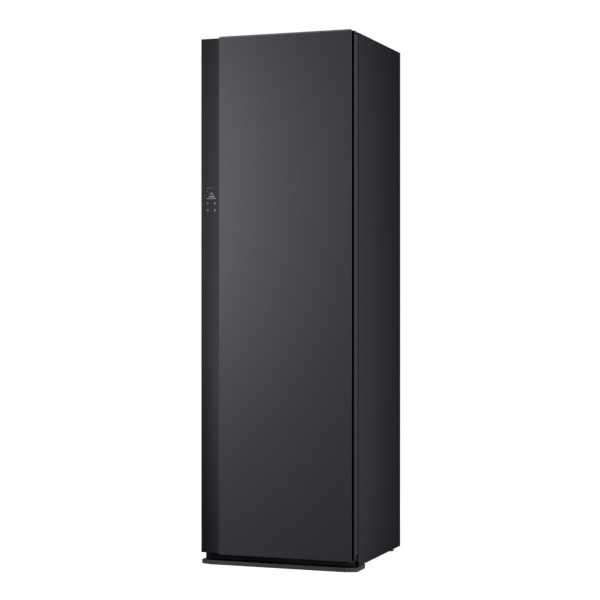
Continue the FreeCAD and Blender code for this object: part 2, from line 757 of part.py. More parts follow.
# ---------------------------------------------------------------- door hinge brackets
def bracket_leg(z0, z1):
    """Thin leg of a hinge bracket on the cabinet front."""
    return block(INNER_W - LEG_W, INNER_W, BODY_FRONT_Y - LEG_T, BODY_FRONT_Y, z0, z1)


def upper_hinge_bracket():
    """Bracket whose pin hangs down into the door."""
    z0, z1 = upper_arm_levels()
    return joined(
        bracket_leg(z1 - LEG_H, z1),
        hinge_arm(z0, z1),
        upright(PIN_R, PINX, PINY, z0 - PIN_LENGTH, z0))


def lower_hinge_bracket():
    """Bracket whose pin stands up into the door and carries it."""
    z0 = DOOR_BOTTOM - LOWER_ARM_DROP
    z1 = z0 + ARM_T
    collar = upright(PIN_R + PIN_COLLAR, PINX, PINY, z1, DOOR_BOTTOM - FACE_GAP)
    return joined(
        bracket_leg(z0, GASKET_END - LEG_TOP_GAP),
        hinge_arm(z0, z1),
        collar,
        upright(PIN_R, PINX, PINY, z1, DOOR_BOTTOM + PIN_LENGTH))


# ---------------------------------------------------------------- cabinet shell
def side_panel(side):
    """Outer side sheet with its edges eased and its rear edge turned in for the back panel."""
    x0, x1 = sorted((side * INNER_W, side * HALF_W))
    sheet = block(x0, x1, BODY_FRONT_Y, BACK_Y, BASE_Z, HEIGHT)
    outer_edges = [
        edge for edge in edges_along(sheet, Z_AXIS)
        if abs(edge.Vertexes[0].Point.x - side * HALF_W) < 1e-6]
    sheet = sheet.makeFillet(SIDE_EDGE_R, outer_edges)
    x0, x1 = sorted((side * INNER_W, side * (INNER_W - SIDE_FLANGE)))
    flange = block(
        x0, x1, BACK_Y - 2 * SHEET_T, BACK_Y - SHEET_T, PAN_TOP + PAN_WALL_H, TOP_UNDER - TOP_FLANGE)
    return joined(sheet, flange)


def top_panel():
    """Top sheet between the side panels, turned down at its sides and back."""
    low = TOP_UNDER - TOP_FLANGE
    sheet = block(-INNER_W, INNER_W, BODY_FRONT_Y, BACK_Y - SHEET_T, TOP_UNDER, HEIGHT)
    skirt = block(-INNER_W, INNER_W, FRAME_BACK_Y, BACK_Y - SHEET_T, low, TOP_UNDER)
    inside = block(
        -INNER_W + SHEET_T, INNER_W - SHEET_T, FRAME_BACK_Y, BACK_Y - 2 * SHEET_T, low, TOP_UNDER)
    return joined(sheet, without(skirt, inside))


def inlet_hole():
    """Cut-out of the back panel that the power inlet's face fills."""
    return block(
        INLET_X - INLET_W / 2, INLET_X + INLET_W / 2, BACK_Y - SHEET_T, BACK_Y,
        INLET_Z - INLET_H / 2, INLET_Z + INLET_H / 2)


def louvre(x, z):
    """Hood formed inward over a vent slot, and what is cut out below it."""
    inner = BACK_Y - SHEET_T
    reach = VENT_H + SHEET_T
    left = x - VENT_W / 2
    hood = prism([
        V(left - SHEET_T, inner, z), V(left - SHEET_T, inner, z + reach),
        V(left - SHEET_T, inner - reach, z)], V(VENT_W + 2 * SHEET_T, 0, 0))
    scoop = prism([
        V(left, BACK_Y, z), V(left, BACK_Y, z + VENT_H), V(left, inner, z + VENT_H),
        V(left, inner - VENT_H, z)], V(VENT_W, 0, 0))
    return hood, scoop


def stiffening_bead(z):
    """Ridge pressed inward across the back sheet, and the groove it leaves outside."""

    def ridge(half, y):
        """Trapezoid bar on the plane y, from -half to half."""
        return prism([
            V(-half, y, z - BEAD_H / 2), V(-half, y - BEAD_DEPTH, z - BEAD_H / 2 + BEAD_DEPTH),
            V(-half, y - BEAD_DEPTH, z + BEAD_H / 2 - BEAD_DEPTH), V(-half, y, z + BEAD_H / 2)],
            V(2 * half, 0, 0))

    half = INNER_W - BEAD_SIDE
    return ridge(half, BACK_Y - SHEET_T), ridge(half - SHEET_T, BACK_Y)


def back_panel():
    """Back sheet with the inlet hole, louvres for the machine room and stiffening beads."""
    sheet = block(-INNER_W, INNER_W, BACK_Y - SHEET_T, BACK_Y, PAN_TOP, HEIGHT)
    formed = []
    for column in range(VENT_COLUMN_COUNT):
        for row in range(VENT_ROW_COUNT):
            x = INNER_W - VENT_SIDE - column * VENT_STEP_X
            formed.append(louvre(x, BASE_Z + VENT_RISE + row * VENT_STEP_Z))
    for z in spaced(CHAMBER_FLOOR, HEIGHT - BEAD_TOP_DROP, BEAD_COUNT):
        formed.append(stiffening_bead(z))
    raised = [added for added, _ in formed]
    cut = [taken for _, taken in formed]
    return without(joined(sheet, *raised), inlet_hole(), *cut)


def foot_places():
    """Plan positions of the feet by name."""
    front_x = HALF_W - FRONT_FOOT_SIDE
    front_y = BODY_FRONT_Y + FRONT_FOOT_SET
    rear_x = HALF_W - REAR_FOOT_SIDE
    rear_y = BACK_Y - REAR_FOOT_SET
    return {
        "foot_front_left": (-front_x, front_y),
        "foot_front_right": (front_x, front_y),
        "foot_rear_left": (-rear_x, rear_y),
        "foot_rear_right": (rear_x, rear_y)}


def base_pan():
    """Steel base tray with bosses for the levelling studs."""
    floor = block(-INNER_W, INNER_W, BODY_FRONT_Y, BACK_Y - SHEET_T, BASE_Z, PAN_TOP)
    rear_limit = BACK_Y - SHEET_T
    tray = block(-INNER_W, INNER_W, FRAME_BACK_Y, rear_limit, BASE_Z, PAN_TOP + PAN_WALL_H)
    hollow = block(
        -INNER_W + SHEET_T, INNER_W - SHEET_T, FRAME_BACK_Y + SHEET_T, rear_limit - SHEET_T,
        PAN_TOP, PAN_TOP + PAN_WALL_H)
    bosses = []
    bores = []
    for x, y in foot_places().values():
        bosses.append(upright(FOOT_BOSS_R, x, y, BASE_Z, PAN_TOP + FOOT_BOSS_H))
        bores.append(upright(STUD_R + RUN_GAP, x, y, BASE_Z, PAN_TOP + FOOT_BOSS_H))
    return without(joined(floor, without(tray, hollow), *bosses), *bores)


def front_frame():
    """Frame round the mouths of the chamber and the tank bay."""
    frame = block(-INNER_W, INNER_W, BODY_FRONT_Y, FRAME_BACK_Y, PAN_TOP, TOP_UNDER)
    chamber_mouth = block(
        -CHAMBER_HALF_W, CHAMBER_HALF_W, BODY_FRONT_Y, FRAME_BACK_Y, CHAMBER_FLOOR, CHAMBER_CEILING)
    bay_mouth = block(
        -CHAMBER_HALF_W, CHAMBER_HALF_W, BODY_FRONT_Y, FRAME_BACK_Y, BAY_BOTTOM, BAY_TOP)
    return without(frame, chamber_mouth, bay_mouth)


def kick_plinth():
    """Recessed plinth below the door, cut back round the lower hinge."""
    front = BODY_FRONT_Y - PLINTH_T - PLINTH_SET
    top = BASE_Z + PLINTH_H
    face = block(-HALF_W, HALF_W, front, front + PLINTH_T, BASE_Z, top)
    spine = block(
        -HALF_W + PLINTH_SPINE_INSET, HALF_W - PLINTH_SPINE_INSET, front + PLINTH_T, BODY_FRONT_Y,
        BASE_Z, top)
    notch = block(
        INNER_W - LEG_W - PLINTH_NOTCH_GAP, HALF_W, front, BODY_FRONT_Y,
        DOOR_BOTTOM - LOWER_ARM_DROP - PLINTH_NOTCH_GAP / 2, top)
    return without(joined(face, spine), notch)


def base_ledge():
    """Charcoal ledge round the cabinet's foot, a shell open below."""
    front = FRONT_Y + LEDGE_REACH
    side = HALF_W + LEDGE_SIDE_PROUD
    rear = FRONT_Y + LEDGE_BACK
    slant = sqrt(LEDGE_CORNER_X ** 2 + LEDGE_CORNER_Y ** 2)

    def outline(inset, z):
        """Plan of the ledge with chamfered front corners, its walls set inward by inset."""
        shift_x = inset * (slant - LEDGE_CORNER_X) / LEDGE_CORNER_Y
        shift_y = inset * (slant - LEDGE_CORNER_Y) / LEDGE_CORNER_X
        half = [
            (side - LEDGE_CORNER_X - shift_x, front + inset),
            (side - inset, front + LEDGE_CORNER_Y + shift_y),
            (side - inset, rear - inset)]
        mirrored = [(-x, y) for x, y in reversed(half)]
        return [V(x, y, z) for x, y in half + mirrored]

    height = BASE_Z - LEDGE_FLOOR_GAP
    body = prism(outline(0, LEDGE_FLOOR_GAP), V(0, 0, height))
    inside = prism(outline(LEDGE_WALL, LEDGE_FLOOR_GAP), V(0, 0, height - LEDGE_WALL))
    ribs = []
    for x in spaced(-side, side, LEDGE_RIB_COUNT + 2)[1:-1]:
        ribs.append(block(x - LEDGE_WALL / 2, x + LEDGE_WALL / 2, front, rear, LEDGE_FLOOR_GAP, BASE_Z))
    holes = [
        upright(FOOT_R + FOOT_HOLE_GAP, x, y, LEDGE_FLOOR_GAP, BASE_Z)
        for name, (x, y) in foot_places().items() if "front" in name]
    return without(joined(without(body, inside), *ribs), *holes)


def levelling_foot(x, y):
    """Foot disc with its hexagon and threaded stud, screwed right in."""
    disc = upright(FOOT_R, x, y, 0, FOOT_H)
    disc = disc.makeChamfer(FOOT_EDGE, edges_on(disc, Z_AXIS, FOOT_H) + edges_on(disc, Z_AXIS, 0))
    corner = NUT_FLATS / sqrt(3)
    corners = [
        V(x + corner * cos(pi / 3 * index), y + corner * sin(pi / 3 * index), FOOT_H) for index in range(6)]
    nut = prism(corners, V(0, 0, BASE_Z - FACE_GAP - FOOT_H))
    return joined(disc, nut, upright(STUD_R, x, y, FOOT_H / 2, STUD_TOP))


# ---------------------------------------------------------------- chamber
def peg_places():
    """Y positions of the shelf pegs."""
    return SHELF_FRONT + PEG_MARGIN, SHELF_BACK - PEG_MARGIN


def peg_z():
    """Height of the pegs' middle, under the shelf's side bars."""
    return SHELF_Z - PEG_R


def inner_wall(side):
    """Chamber side wall with the two shelf pegs moulded on it and grooves pressed into it."""
    x0, x1 = sorted((side * CHAMBER_HALF_W, side * (CHAMBER_HALF_W + WALL_T)))
    groove_x = sorted((side * CHAMBER_HALF_W, side * (CHAMBER_HALF_W + GROOVE_DEPTH)))
    grooves = [
        block(*groove_x, y - GROOVE_W / 2, y + GROOVE_W / 2, GROOVE_BOTTOM, GROOVE_TOP)
        for y in spaced(FRAME_BACK_Y, CHAMBER_BACK, SIDE_GROOVE_COUNT + 2)[1:-1]]
    wall = block(x0, x1, FRAME_BACK_Y, CHAMBER_BACK + WALL_T, FLOOR_UNDER, CEILING_TOP)
    pegs = [
        rod(PEG_R, V(side * CHAMBER_HALF_W, y, peg_z()), V(side * (CHAMBER_HALF_W - PEG_L), y, peg_z()))
        for y in peg_places()]
    return joined(without(wall, *grooves), *pegs)


def rear_inner_wall():
    """Chamber back wall with the nozzle hole and grooves pressed into it."""
    y0 = CHAMBER_BACK
    wall = block(-CHAMBER_HALF_W, CHAMBER_HALF_W, y0, y0 + WALL_T, FLOOR_UNDER, CEILING_TOP)
    hole = rod(HOSE_R, V(BOILER_X, y0, NOZZLE_Z), V(BOILER_X, y0 + WALL_T, NOZZLE_Z))
    grooves = [
        block(x - GROOVE_W / 2, x + GROOVE_W / 2, y0, y0 + GROOVE_DEPTH, GROOVE_BOTTOM, GROOVE_TOP)
        for x in spaced(-CHAMBER_HALF_W, CHAMBER_HALF_W, REAR_GROOVE_COUNT + 2)[1:-1]]
    return without(wall, hole, *grooves)


def chamber_ceiling():
    """Ceiling with slots for the hanger stems."""
    plate = block(
        -CHAMBER_HALF_W, CHAMBER_HALF_W, FRAME_BACK_Y, CHAMBER_BACK, CHAMBER_CEILING, CEILING_TOP)
    return without(plate, *stem_slots(CHAMBER_CEILING, CEILING_TOP))


def chamber_floor():
    """Floor with openings for filter, cartridge and air outlet."""
    plate = block(
        -CHAMBER_HALF_W, CHAMBER_HALF_W, FRAME_BACK_Y, CHAMBER_BACK, FLOOR_UNDER, CHAMBER_FLOOR)
    filter_slot = block(
        FILTER_X - FILTER_W / 2 - FACE_GAP, FILTER_X + FILTER_W / 2 + FACE_GAP,
        FLOOR_SLOT_Y - FILTER_T / 2 - FACE_GAP, FLOOR_SLOT_Y + FILTER_T / 2 + FACE_GAP,
        FLOOR_UNDER, CHAMBER_FLOOR)
    aroma_slot = block(
        AROMA_X - AROMA_W / 2 - FACE_GAP, AROMA_X + AROMA_W / 2 + FACE_GAP,
        FLOOR_SLOT_Y - AROMA_D / 2 - FACE_GAP, FLOOR_SLOT_Y + AROMA_D / 2 + FACE_GAP,
        FLOOR_UNDER, CHAMBER_FLOOR)
    left, right, rear = outlet_place()
    slits = [
        block(left + SLIT_END, right - SLIT_END, y - SLIT_W / 2, y + SLIT_W / 2, FLOOR_UNDER, CHAMBER_FLOOR)
        for y in spaced(rear - OUTLET_L + SLIT_W, rear - SLIT_W, SLIT_COUNT)]
    return without(plate, filter_slot, aroma_slot, *slits)


def shelf():
    """Removable shelf of flat bars resting on the wall pegs."""
    side = CHAMBER_HALF_W - SHELF_SIDE_GAP
    z0 = SHELF_Z
    z1 = SHELF_Z + SHELF_BAR
    outer = block(-side, side, SHELF_FRONT, SHELF_BACK, z0, z1)
    inner = block(-side + SHELF_BAR, side - SHELF_BAR, SHELF_FRONT + SHELF_BAR, SHELF_BACK - SHELF_BAR, z0, z1)
    middle = (z0 + z1) / 2
    places = spaced(-side, side, SHELF_SLAT_COUNT + 2)[1:-1]
    slats = [
        block(
            x - SHELF_SLAT_W / 2, x + SHELF_SLAT_W / 2, SHELF_FRONT + SHELF_BAR / 2, SHELF_BACK - SHELF_BAR / 2,
            middle - SHELF_SLAT_H / 2, middle + SHELF_SLAT_H / 2)
        for x in places]
    return joined(without(outer, inner), *slats)


# ---------------------------------------------------------------- tank bay
def tank_bay():
    """Moulded bay with one pocket for each tank and ribs under its floor."""
    outer = block(
        -CHAMBER_HALF_W - BAY_WALL, CHAMBER_HALF_W + BAY_WALL, FRAME_BACK_Y, BAY_BACK,
        BAY_BOTTOM - BAY_WALL, BAY_TOP)
    half = BAY_DIVIDER / 2
    pockets = [
        block(-CHAMBER_HALF_W, -half, FRAME_BACK_Y, BAY_BACK - BAY_WALL, BAY_BOTTOM, BAY_TOP),
        block(half, CHAMBER_HALF_W, FRAME_BACK_Y, BAY_BACK - BAY_WALL, BAY_BOTTOM, BAY_TOP)]
    under = BAY_BOTTOM - BAY_WALL
    ribs = [
        block(x - BAY_WALL / 2, x + BAY_WALL / 2, FRAME_BACK_Y, BAY_BACK, under - BAY_RIB_H, under)
        for x in spaced(-CHAMBER_HALF_W, CHAMBER_HALF_W, BAY_RIB_COUNT)]
    return joined(without(outer, *pockets), *ribs)


def tank_span(side):
    """Left and right faces of the tank on one side."""
    inner = BAY_DIVIDER / 2 + TANK_GAP
    outer = CHAMBER_HALF_W - TANK_GAP
    return sorted((side * inner, side * outer))


def tank(side):
    """Open-topped water tank with a grip recess in its front."""
    x0, x1 = tank_span(side)
    z0 = BAY_BOTTOM + FACE_GAP
    z1 = z0 + TANK_H
    body = rounded(block(x0, x1, TANK_FRONT, TANK_BACK, z0, z1), TANK_R, Z_AXIS)
    inside = rounded(
        block(x0 + TANK_WALL, x1 - TANK_WALL, TANK_FRONT + TANK_WALL, TANK_BACK - TANK_WALL,
              z0 + TANK_WALL, z1), TANK_R - TANK_WALL, Z_AXIS)
    middle = (x0 + x1) / 2
    grip_top = z1 - TANK_GRIP_DROP
    grip = (middle - TANK_GRIP_W / 2, middle + TANK_GRIP_W / 2)
    pocket_wall = block(
        grip[0] - TANK_WALL, grip[1] + TANK_WALL, TANK_FRONT, TANK_FRONT + TANK_GRIP_DEPTH + TANK_WALL,
        grip_top - TANK_GRIP_H - TANK_WALL, grip_top + TANK_WALL)
    pocket = block(
        grip[0], grip[1], TANK_FRONT, TANK_FRONT + TANK_GRIP_DEPTH, grip_top - TANK_GRIP_H, grip_top)
    return without(joined(without(body, inside), pocket_wall), pocket)


def tank_lid(side):
    """Lid with a locating lip and a filler cap that has a grip bar between two pockets."""
    x0, x1 = tank_span(side)
    z0 = BAY_BOTTOM + FACE_GAP + TANK_H
    cover = rounded(block(x0, x1, TANK_FRONT, TANK_BACK, z0, z0 + LID_T), TANK_R, Z_AXIS)
    edge = TANK_WALL + FACE_GAP
    lip_outer = rounded(
        block(x0 + edge, x1 - edge, TANK_FRONT + edge, TANK_BACK - edge, z0 - LID_LIP, z0),
        TANK_R - edge, Z_AXIS)
    lip_inner = block(
        x0 + TANK_R, x1 - TANK_R, TANK_FRONT + TANK_R, TANK_BACK - TANK_R, z0 - LID_LIP, z0)
    cap_x = (x0 + x1) / 2
    cap_y = (TANK_FRONT + TANK_BACK) / 2
    cap_top = z0 + LID_T + CAP_H
    cap = upright(CAP_R, cap_x, cap_y, z0 + LID_T, cap_top)
    pockets = without(
        upright(CAP_R - CAP_RIM, cap_x, cap_y, cap_top - CAP_POCKET, cap_top),
        block(cap_x - CAP_R, cap_x + CAP_R, cap_y - CAP_BAR / 2, cap_y + CAP_BAR / 2,
              cap_top - CAP_POCKET, cap_top))
    return without(joined(cover, without(lip_outer, lip_inner), cap), pockets)


# ---------------------------------------------------------------- air path
def air_duct():
    """Duct tray below the chamber floor that holds coils and fan."""
    side = CHAMBER_HALF_W
    outer = block(-side, side, FRAME_BACK_Y, DUCT_BACK, BAY_TOP, FLOOR_UNDER)
    inside = block(
        -side + SHEET_T, side - SHEET_T, FRAME_BACK_Y + SHEET_T, DUCT_BACK - SHEET_T,
        DUCT_FLOOR, FLOOR_UNDER)
    shaft_hole = upright(FAN_SHAFT_R + SHAFT_HOLE_GAP, FAN_X, FAN_Y, BAY_TOP, DUCT_FLOOR)
    return without(outer, inside, shaft_hole)


def coil(y):
    """Finned heat exchanger: fin block combed from both faces, end plates and tube ends."""
    z0 = DUCT_FLOOR
    z1 = z0 + COIL_H
    half = CHAMBER_HALF_W - COIL_SIDE
    middle = y + COIL_T / 2
    core = block(-half, half, y, y + COIL_T, z0, z1)
    pitch = 2 * half / FIN_COUNT
    combs = []
    for index in range(FIN_COUNT):
        x0 = -half + pitch * index + FIN_T
        x1 = x0 + pitch - FIN_T
        combs.append(block(x0, x1, y, middle - COIL_CORE / 2, z0, z1))
        combs.append(block(x0, x1, middle + COIL_CORE / 2, y + COIL_T, z0, z1))
    plates = [
        block(x - COIL_PLATE, x, y, y + COIL_T, z0, z1 + COIL_PLATE) for x in (-half, half + COIL_PLATE)]
    stubs = []
    for row_z in spaced(z0 + COIL_TUBE_END, z1 - COIL_TUBE_END, COIL_TUBE_COUNT):
        for row_y in (y + COIL_T / 3, y + COIL_T * 2 / 3):
            stubs.append(rod(COIL_TUBE_R, V(-half - COIL_STUB, row_y, row_z), V(-half, row_y, row_z)))
    return joined(without(core, *combs), *plates, *stubs)


def outlet_place():
    """Left, right and rear inner faces of the scroll's outlet."""
    left = FAN_X - SCROLL_STEP / 2 + FAN_R + SCROLL_GAP
    rear = DUCT_BACK - SHEET_T - FACE_GAP - SCROLL_WALL
    return left + TONGUE_T, left + 4 * SCROLL_STEP, rear


def spiral(wall, height):
    """Growing spiral round the fan: quarter arcs about the corners of a small square."""
    middle = V(FAN_X - SCROLL_STEP / 2, FAN_Y + SCROLL_STEP / 2, DUCT_FLOOR)
    radius = FAN_R + SCROLL_GAP + wall
    tongue = middle + X_AXIS * radius
    edges = []
    for quarter in range(4):
        before = V(cos(pi / 2 * quarter), sin(pi / 2 * quarter), 0)
        after = V(cos(pi / 2 * (quarter + 1)), sin(pi / 2 * (quarter + 1)), 0)
        between = (before + after) / sqrt(2)
        last = middle + after * radius
        edges.append(Part.Arc(middle + before * radius, middle + between * radius, last).toShape())
        middle = middle - after * SCROLL_STEP
        radius += SCROLL_STEP
    edges.append(Part.LineSegment(last, tongue).toShape())
    return Part.Face(Part.Wire(edges)).extrude(V(0, 0, height))


def fan_housing():
    """Spiral blower housing: inlet eye in its roof, outlet at the back up to the chamber floor."""
    roof = ROTOR_Z + FAN_H + ROTOR_GAP
    top = roof + SCROLL_WALL
    left, right, rear = outlet_place()
    start = FAN_Y + SCROLL_STEP / 2
    wall = SCROLL_WALL
    body = joined(
        spiral(wall, top - DUCT_FLOOR),
        block(left - wall, right + wall, start, rear + wall, DUCT_FLOOR, top),
        block(left - wall, right + wall, rear - OUTLET_L - wall, rear + wall, DUCT_FLOOR, FLOOR_UNDER))
    return without(
        body,
        spiral(0, roof - DUCT_FLOOR),
        block(left, right, start, rear, DUCT_FLOOR, roof),
        block(left, right, rear - OUTLET_L, rear, DUCT_FLOOR, FLOOR_UNDER),
        upright(FAN_R - BLADE_DEPTH, FAN_X, FAN_Y, roof, top))


def fan_rotor():
    """Drum rotor with forward-leaning blades between a back disc and a rim ring."""
    top = ROTOR_Z + FAN_H
    hub_top = ROTOR_Z + FAN_H / 2
    disc = upright(FAN_R, FAN_X, FAN_Y, ROTOR_Z, ROTOR_Z + ROTOR_DISC_T)
    hub = upright(FAN_HUB_R, FAN_X, FAN_Y, ROTOR_Z, hub_top)
    ring = without(
        upright(FAN_R, FAN_X, FAN_Y, top - ROTOR_RIM_T, top),
        upright(FAN_R - BLADE_DEPTH, FAN_X, FAN_Y, top - ROTOR_RIM_T, top))
    blades = []
    for index in range(FAN_BLADE_COUNT):
        blade = block(
            FAN_X + FAN_R - BLADE_DEPTH, FAN_X + FAN_R - BLADE_SET,
            FAN_Y - BLADE_T / 2, FAN_Y + BLADE_T / 2, ROTOR_Z, top)
        blade.rotate(V(FAN_X + FAN_R - BLADE_DEPTH / 2, FAN_Y, 0), Z_AXIS, BLADE_LEAN)
        blade.rotate(V(FAN_X, FAN_Y, 0), Z_AXIS, 360.0 / FAN_BLADE_COUNT * index)
        blades.append(blade)
    bore = upright(FAN_SHAFT_R + RUN_GAP, FAN_X, FAN_Y, ROTOR_Z, hub_top)
    return without(joined(disc, hub, ring, *blades), bore)


def fan_motor():
    """Motor hung under the duct, its shaft standing up into the fan."""
    top = BAY_TOP
    can = upright(FAN_MOTOR_R, FAN_X, FAN_Y, top - FAN_MOTOR_H, top)
    can = can.makeChamfer(CAN_BEVEL, edges_on(can, Z_AXIS, top - FAN_MOTOR_H))
    return joined(can, upright(FAN_SHAFT_R, FAN_X, FAN_Y, top, ROTOR_Z + FAN_H / 2 - CAN_SHAFT_SHY))


def lint_filter():
    """Filter frame with mesh ribs and a grip, hanging in the floor slot."""
    half = FILTER_W / 2
    z0 = CHAMBER_FLOOR - FILTER_DEPTH
    y0 = FLOOR_SLOT_Y - FILTER_T / 2
    y1 = FLOOR_SLOT_Y + FILTER_T / 2
    frame = block(FILTER_X - half, FILTER_X + half, y0, y1, z0, CHAMBER_FLOOR)
    window = block(
        FILTER_X - half + FILTER_BAR, FILTER_X + half - FILTER_BAR, y0, y1,
        z0 + FILTER_BAR, CHAMBER_FLOOR - FILTER_BAR)
    mesh = block(
        FILTER_X - half, FILTER_X + half, FLOOR_SLOT_Y - MESH_T / 2, FLOOR_SLOT_Y + MESH_T / 2,
        z0, CHAMBER_FLOOR)
    ribs = [
        block(x - FILTER_RIB_T / 2, x + FILTER_RIB_T / 2, y0 + FILTER_RIB_SET, y1 - FILTER_RIB_SET,
              z0, CHAMBER_FLOOR)
        for x in spaced(FILTER_X - half, FILTER_X + half, FILTER_RIB_COUNT + 2)[1:-1]]
    cap_z = CHAMBER_FLOOR + FACE_GAP
    flange = rounded(
        block(FILTER_X - half - FILTER_FLANGE, FILTER_X + half + FILTER_FLANGE, y0 - FILTER_FLANGE,
              y1 + FILTER_FLANGE, cap_z, cap_z + FILTER_CAP_H), FLOOR_CAP_R, Z_AXIS)
    neck = block(
        FILTER_X - half, FILTER_X + half, y0, y1, CHAMBER_FLOOR - FLOOR_CAP_SINK, cap_z + FLOOR_CAP_SINK)
    grip = rounded(
        block(FILTER_X - FILTER_GRIP_W / 2, FILTER_X + FILTER_GRIP_W / 2,
              FLOOR_SLOT_Y - FILTER_GRIP_T / 2, FLOOR_SLOT_Y + FILTER_GRIP_T / 2,
              cap_z, cap_z + FILTER_CAP_H + FILTER_GRIP_H), FILTER_GRIP_R, Z_AXIS)
    return joined(without(frame, window), mesh, *ribs, neck, flange, grip)


def aroma_cartridge():
    """Slotted scent holder that drops into the chamber floor."""
    x0, x1 = AROMA_X - AROMA_W / 2, AROMA_X + AROMA_W / 2
    y0, y1 = FLOOR_SLOT_Y - AROMA_D / 2, FLOOR_SLOT_Y + AROMA_D / 2
    cap_z = CHAMBER_FLOOR + FACE_GAP
    body = block(x0, x1, y0, y1, CHAMBER_FLOOR - AROMA_DEPTH, cap_z)
    cap = rounded(
        block(x0 - FILTER_FLANGE, x1 + FILTER_FLANGE, y0 - FILTER_FLANGE, y1 + FILTER_FLANGE,
              cap_z, cap_z + FILTER_CAP_H), FLOOR_CAP_R, Z_AXIS)
    slots = [
        block(x0 + AROMA_SLOT_SIDE, x1 - AROMA_SLOT_SIDE, y - AROMA_SLOT_W / 2, y + AROMA_SLOT_W / 2,
              cap_z, cap_z + FILTER_CAP_H)
        for y in spaced(y0 + AROMA_SLOT_END, y1 - AROMA_SLOT_END, AROMA_SLOT_COUNT)]
    return without(joined(body, cap), *slots)


# ---------------------------------------------------------------- steam
def steam_generator():
    """Cast boiler housing with a heater flange and a ribbed lid, on four legs."""
    x0, x1 = BOILER_X - BOILER_W / 2, BOILER_X + BOILER_W / 2
    y0, y1 = BOILER_Y - BOILER_D / 2, BOILER_Y + BOILER_D / 2
    top = BOILER_BASE + BOILER_H
    shell = rounded(block(x0, x1, y0, y1, BOILER_BASE, top), BOILER_R, Z_AXIS)
    middle = BOILER_BASE + BOILER_H / 2
    flange = rounded(
        block(x0 - BOILER_FLANGE, x1 + BOILER_FLANGE, y0 - BOILER_FLANGE, y1 + BOILER_FLANGE,
              middle, middle + BOILER_FLANGE_T), BOILER_R, Z_AXIS)
    ribs = [
        block(x - BOILER_RIB_T / 2, x + BOILER_RIB_T / 2, y0 + BOILER_R, y1 - BOILER_R,
              top, top + BOILER_RIB_H)
        for x in spaced(x0 + BOILER_R, x1 - BOILER_R, BOILER_RIB_COUNT)]
    legs = []
    for x in (x0 + BOILER_R, x1 - BOILER_R):
        for y in (y0 + BOILER_R, y1 - BOILER_R):
            legs.append(upright(BOILER_LEG / 2, x, y, PAN_TOP, BOILER_BASE))
    outlet = rod(
        HOSE_R + BOILER_SPOUT_WALL, V(BOILER_X, y1, hose_low_z()),
        V(BOILER_X, y1 + BOILER_SPOUT, hose_low_z()))
    return joined(shell, flange, *ribs, *legs, outlet)


def hose_low_z():
    """Height of the hose where it leaves the boiler."""
    return BOILER_BASE + BOILER_H - BOILER_SPOUT_DROP


def steam_hose():
    """Steam hose: back from the boiler, up behind the duct and into the rear wall."""
    low = hose_low_z()
    wall_back = CHAMBER_BACK + WALL_T
    high_bend = HOSE_Y - wall_back
    start = V(BOILER_X, BOILER_Y + BOILER_D / 2 + BOILER_SPOUT, low)
    low_in = V(BOILER_X, HOSE_Y - HOSE_BEND, low)
    low_out = V(BOILER_X, HOSE_Y, low + HOSE_BEND)
    high_in = V(BOILER_X, HOSE_Y, NOZZLE_Z - high_bend)
    return joined(
        rod(HOSE_R, start, low_in),
        bend(HOSE_R, low_in, Y_AXIS, low_in + Z_AXIS * HOSE_BEND, X_AXIS, 90),
        rod(HOSE_R, low_out, high_in),
        bend(HOSE_R, high_in, Z_AXIS, high_in - Y_AXIS * high_bend, X_AXIS, 90))


def steam_nozzle():
    """Steam outlet on the chamber's back wall, with a row of slots across its face."""
    y0 = CHAMBER_BACK
    face = y0 - NOZZLE_PROUD
    body = Part.makeCone(
        NOZZLE_R, NOZZLE_FACE_R, NOZZLE_PROUD, V(BOILER_X, y0, NOZZLE_Z), V(0, -1, 0))
    spigot = rod(HOSE_R - FACE_GAP, V(BOILER_X, y0, NOZZLE_Z), V(BOILER_X, y0 + WALL_T - FACE_GAP, NOZZLE_Z))
    reach = (NOZZLE_SLOT_COUNT - 1) / 2 * NOZZLE_SLOT_STEP
    slots = [
        block(BOILER_X - NOZZLE_SLOT_L / 2, BOILER_X + NOZZLE_SLOT_L / 2, face, y0 - NOZZLE_WALL,
              z - NOZZLE_SLOT_H / 2, z + NOZZLE_SLOT_H / 2)
        for z in spaced(NOZZLE_Z - reach, NOZZLE_Z + reach, NOZZLE_SLOT_COUNT)]
    return without(joined(body, spigot), *slots)


# ---------------------------------------------------------------- machine room
def compressor():
    """Domed compressor can with a terminal cover and pipe stubs, on a plate with rubber mounts."""
    x, y, radius = COMPRESSOR_X, COMPRESSOR_Y, COMPRESSOR_R
    z0 = PAN_TOP + COMPRESSOR_LIFT
    top = z0 + COMPRESSOR_H
    can = upright(radius, x, y, z0, top)
    can = can.makeFillet(COMPRESSOR_DOME, edges_on(can, Z_AXIS, top))
    seam = z0 + COMPRESSOR_H / 2
    weld = upright(radius + WELD_PROUD, x, y, seam, seam + WELD_H)
    side = radius + COMPRESSOR_PLATE_SIDE
    plate = rounded(
        block(x - side, x + side, y - radius, y + radius, z0, z0 + COMPRESSOR_PLATE_T),
        COMPRESSOR_PLATE_R, Z_AXIS)
    cover = block(
        x - TERMINAL_W / 2, x + TERMINAL_W / 2, y, y + radius + TERMINAL_PROUD,
        z0 + TERMINAL_RISE, z0 + TERMINAL_RISE + TERMINAL_H)
    stubs = []
    for step in (0, 1):
        z = z0 + PIPE_STUB_RISE + step * PIPE_STUB_STEP
        stubs.append(rod(PIPE_STUB_R, V(x - radius - PIPE_STUB_L, y, z), V(x, y, z)))
    mounts = [
        upright(MOUNT_R, x + side_x * radius, y + side_y * (radius - MOUNT_R), PAN_TOP, z0)
        for side_x in (-1, 1) for side_y in (-1, 1)]
    return joined(can, weld, plate, cover, *stubs, *mounts)


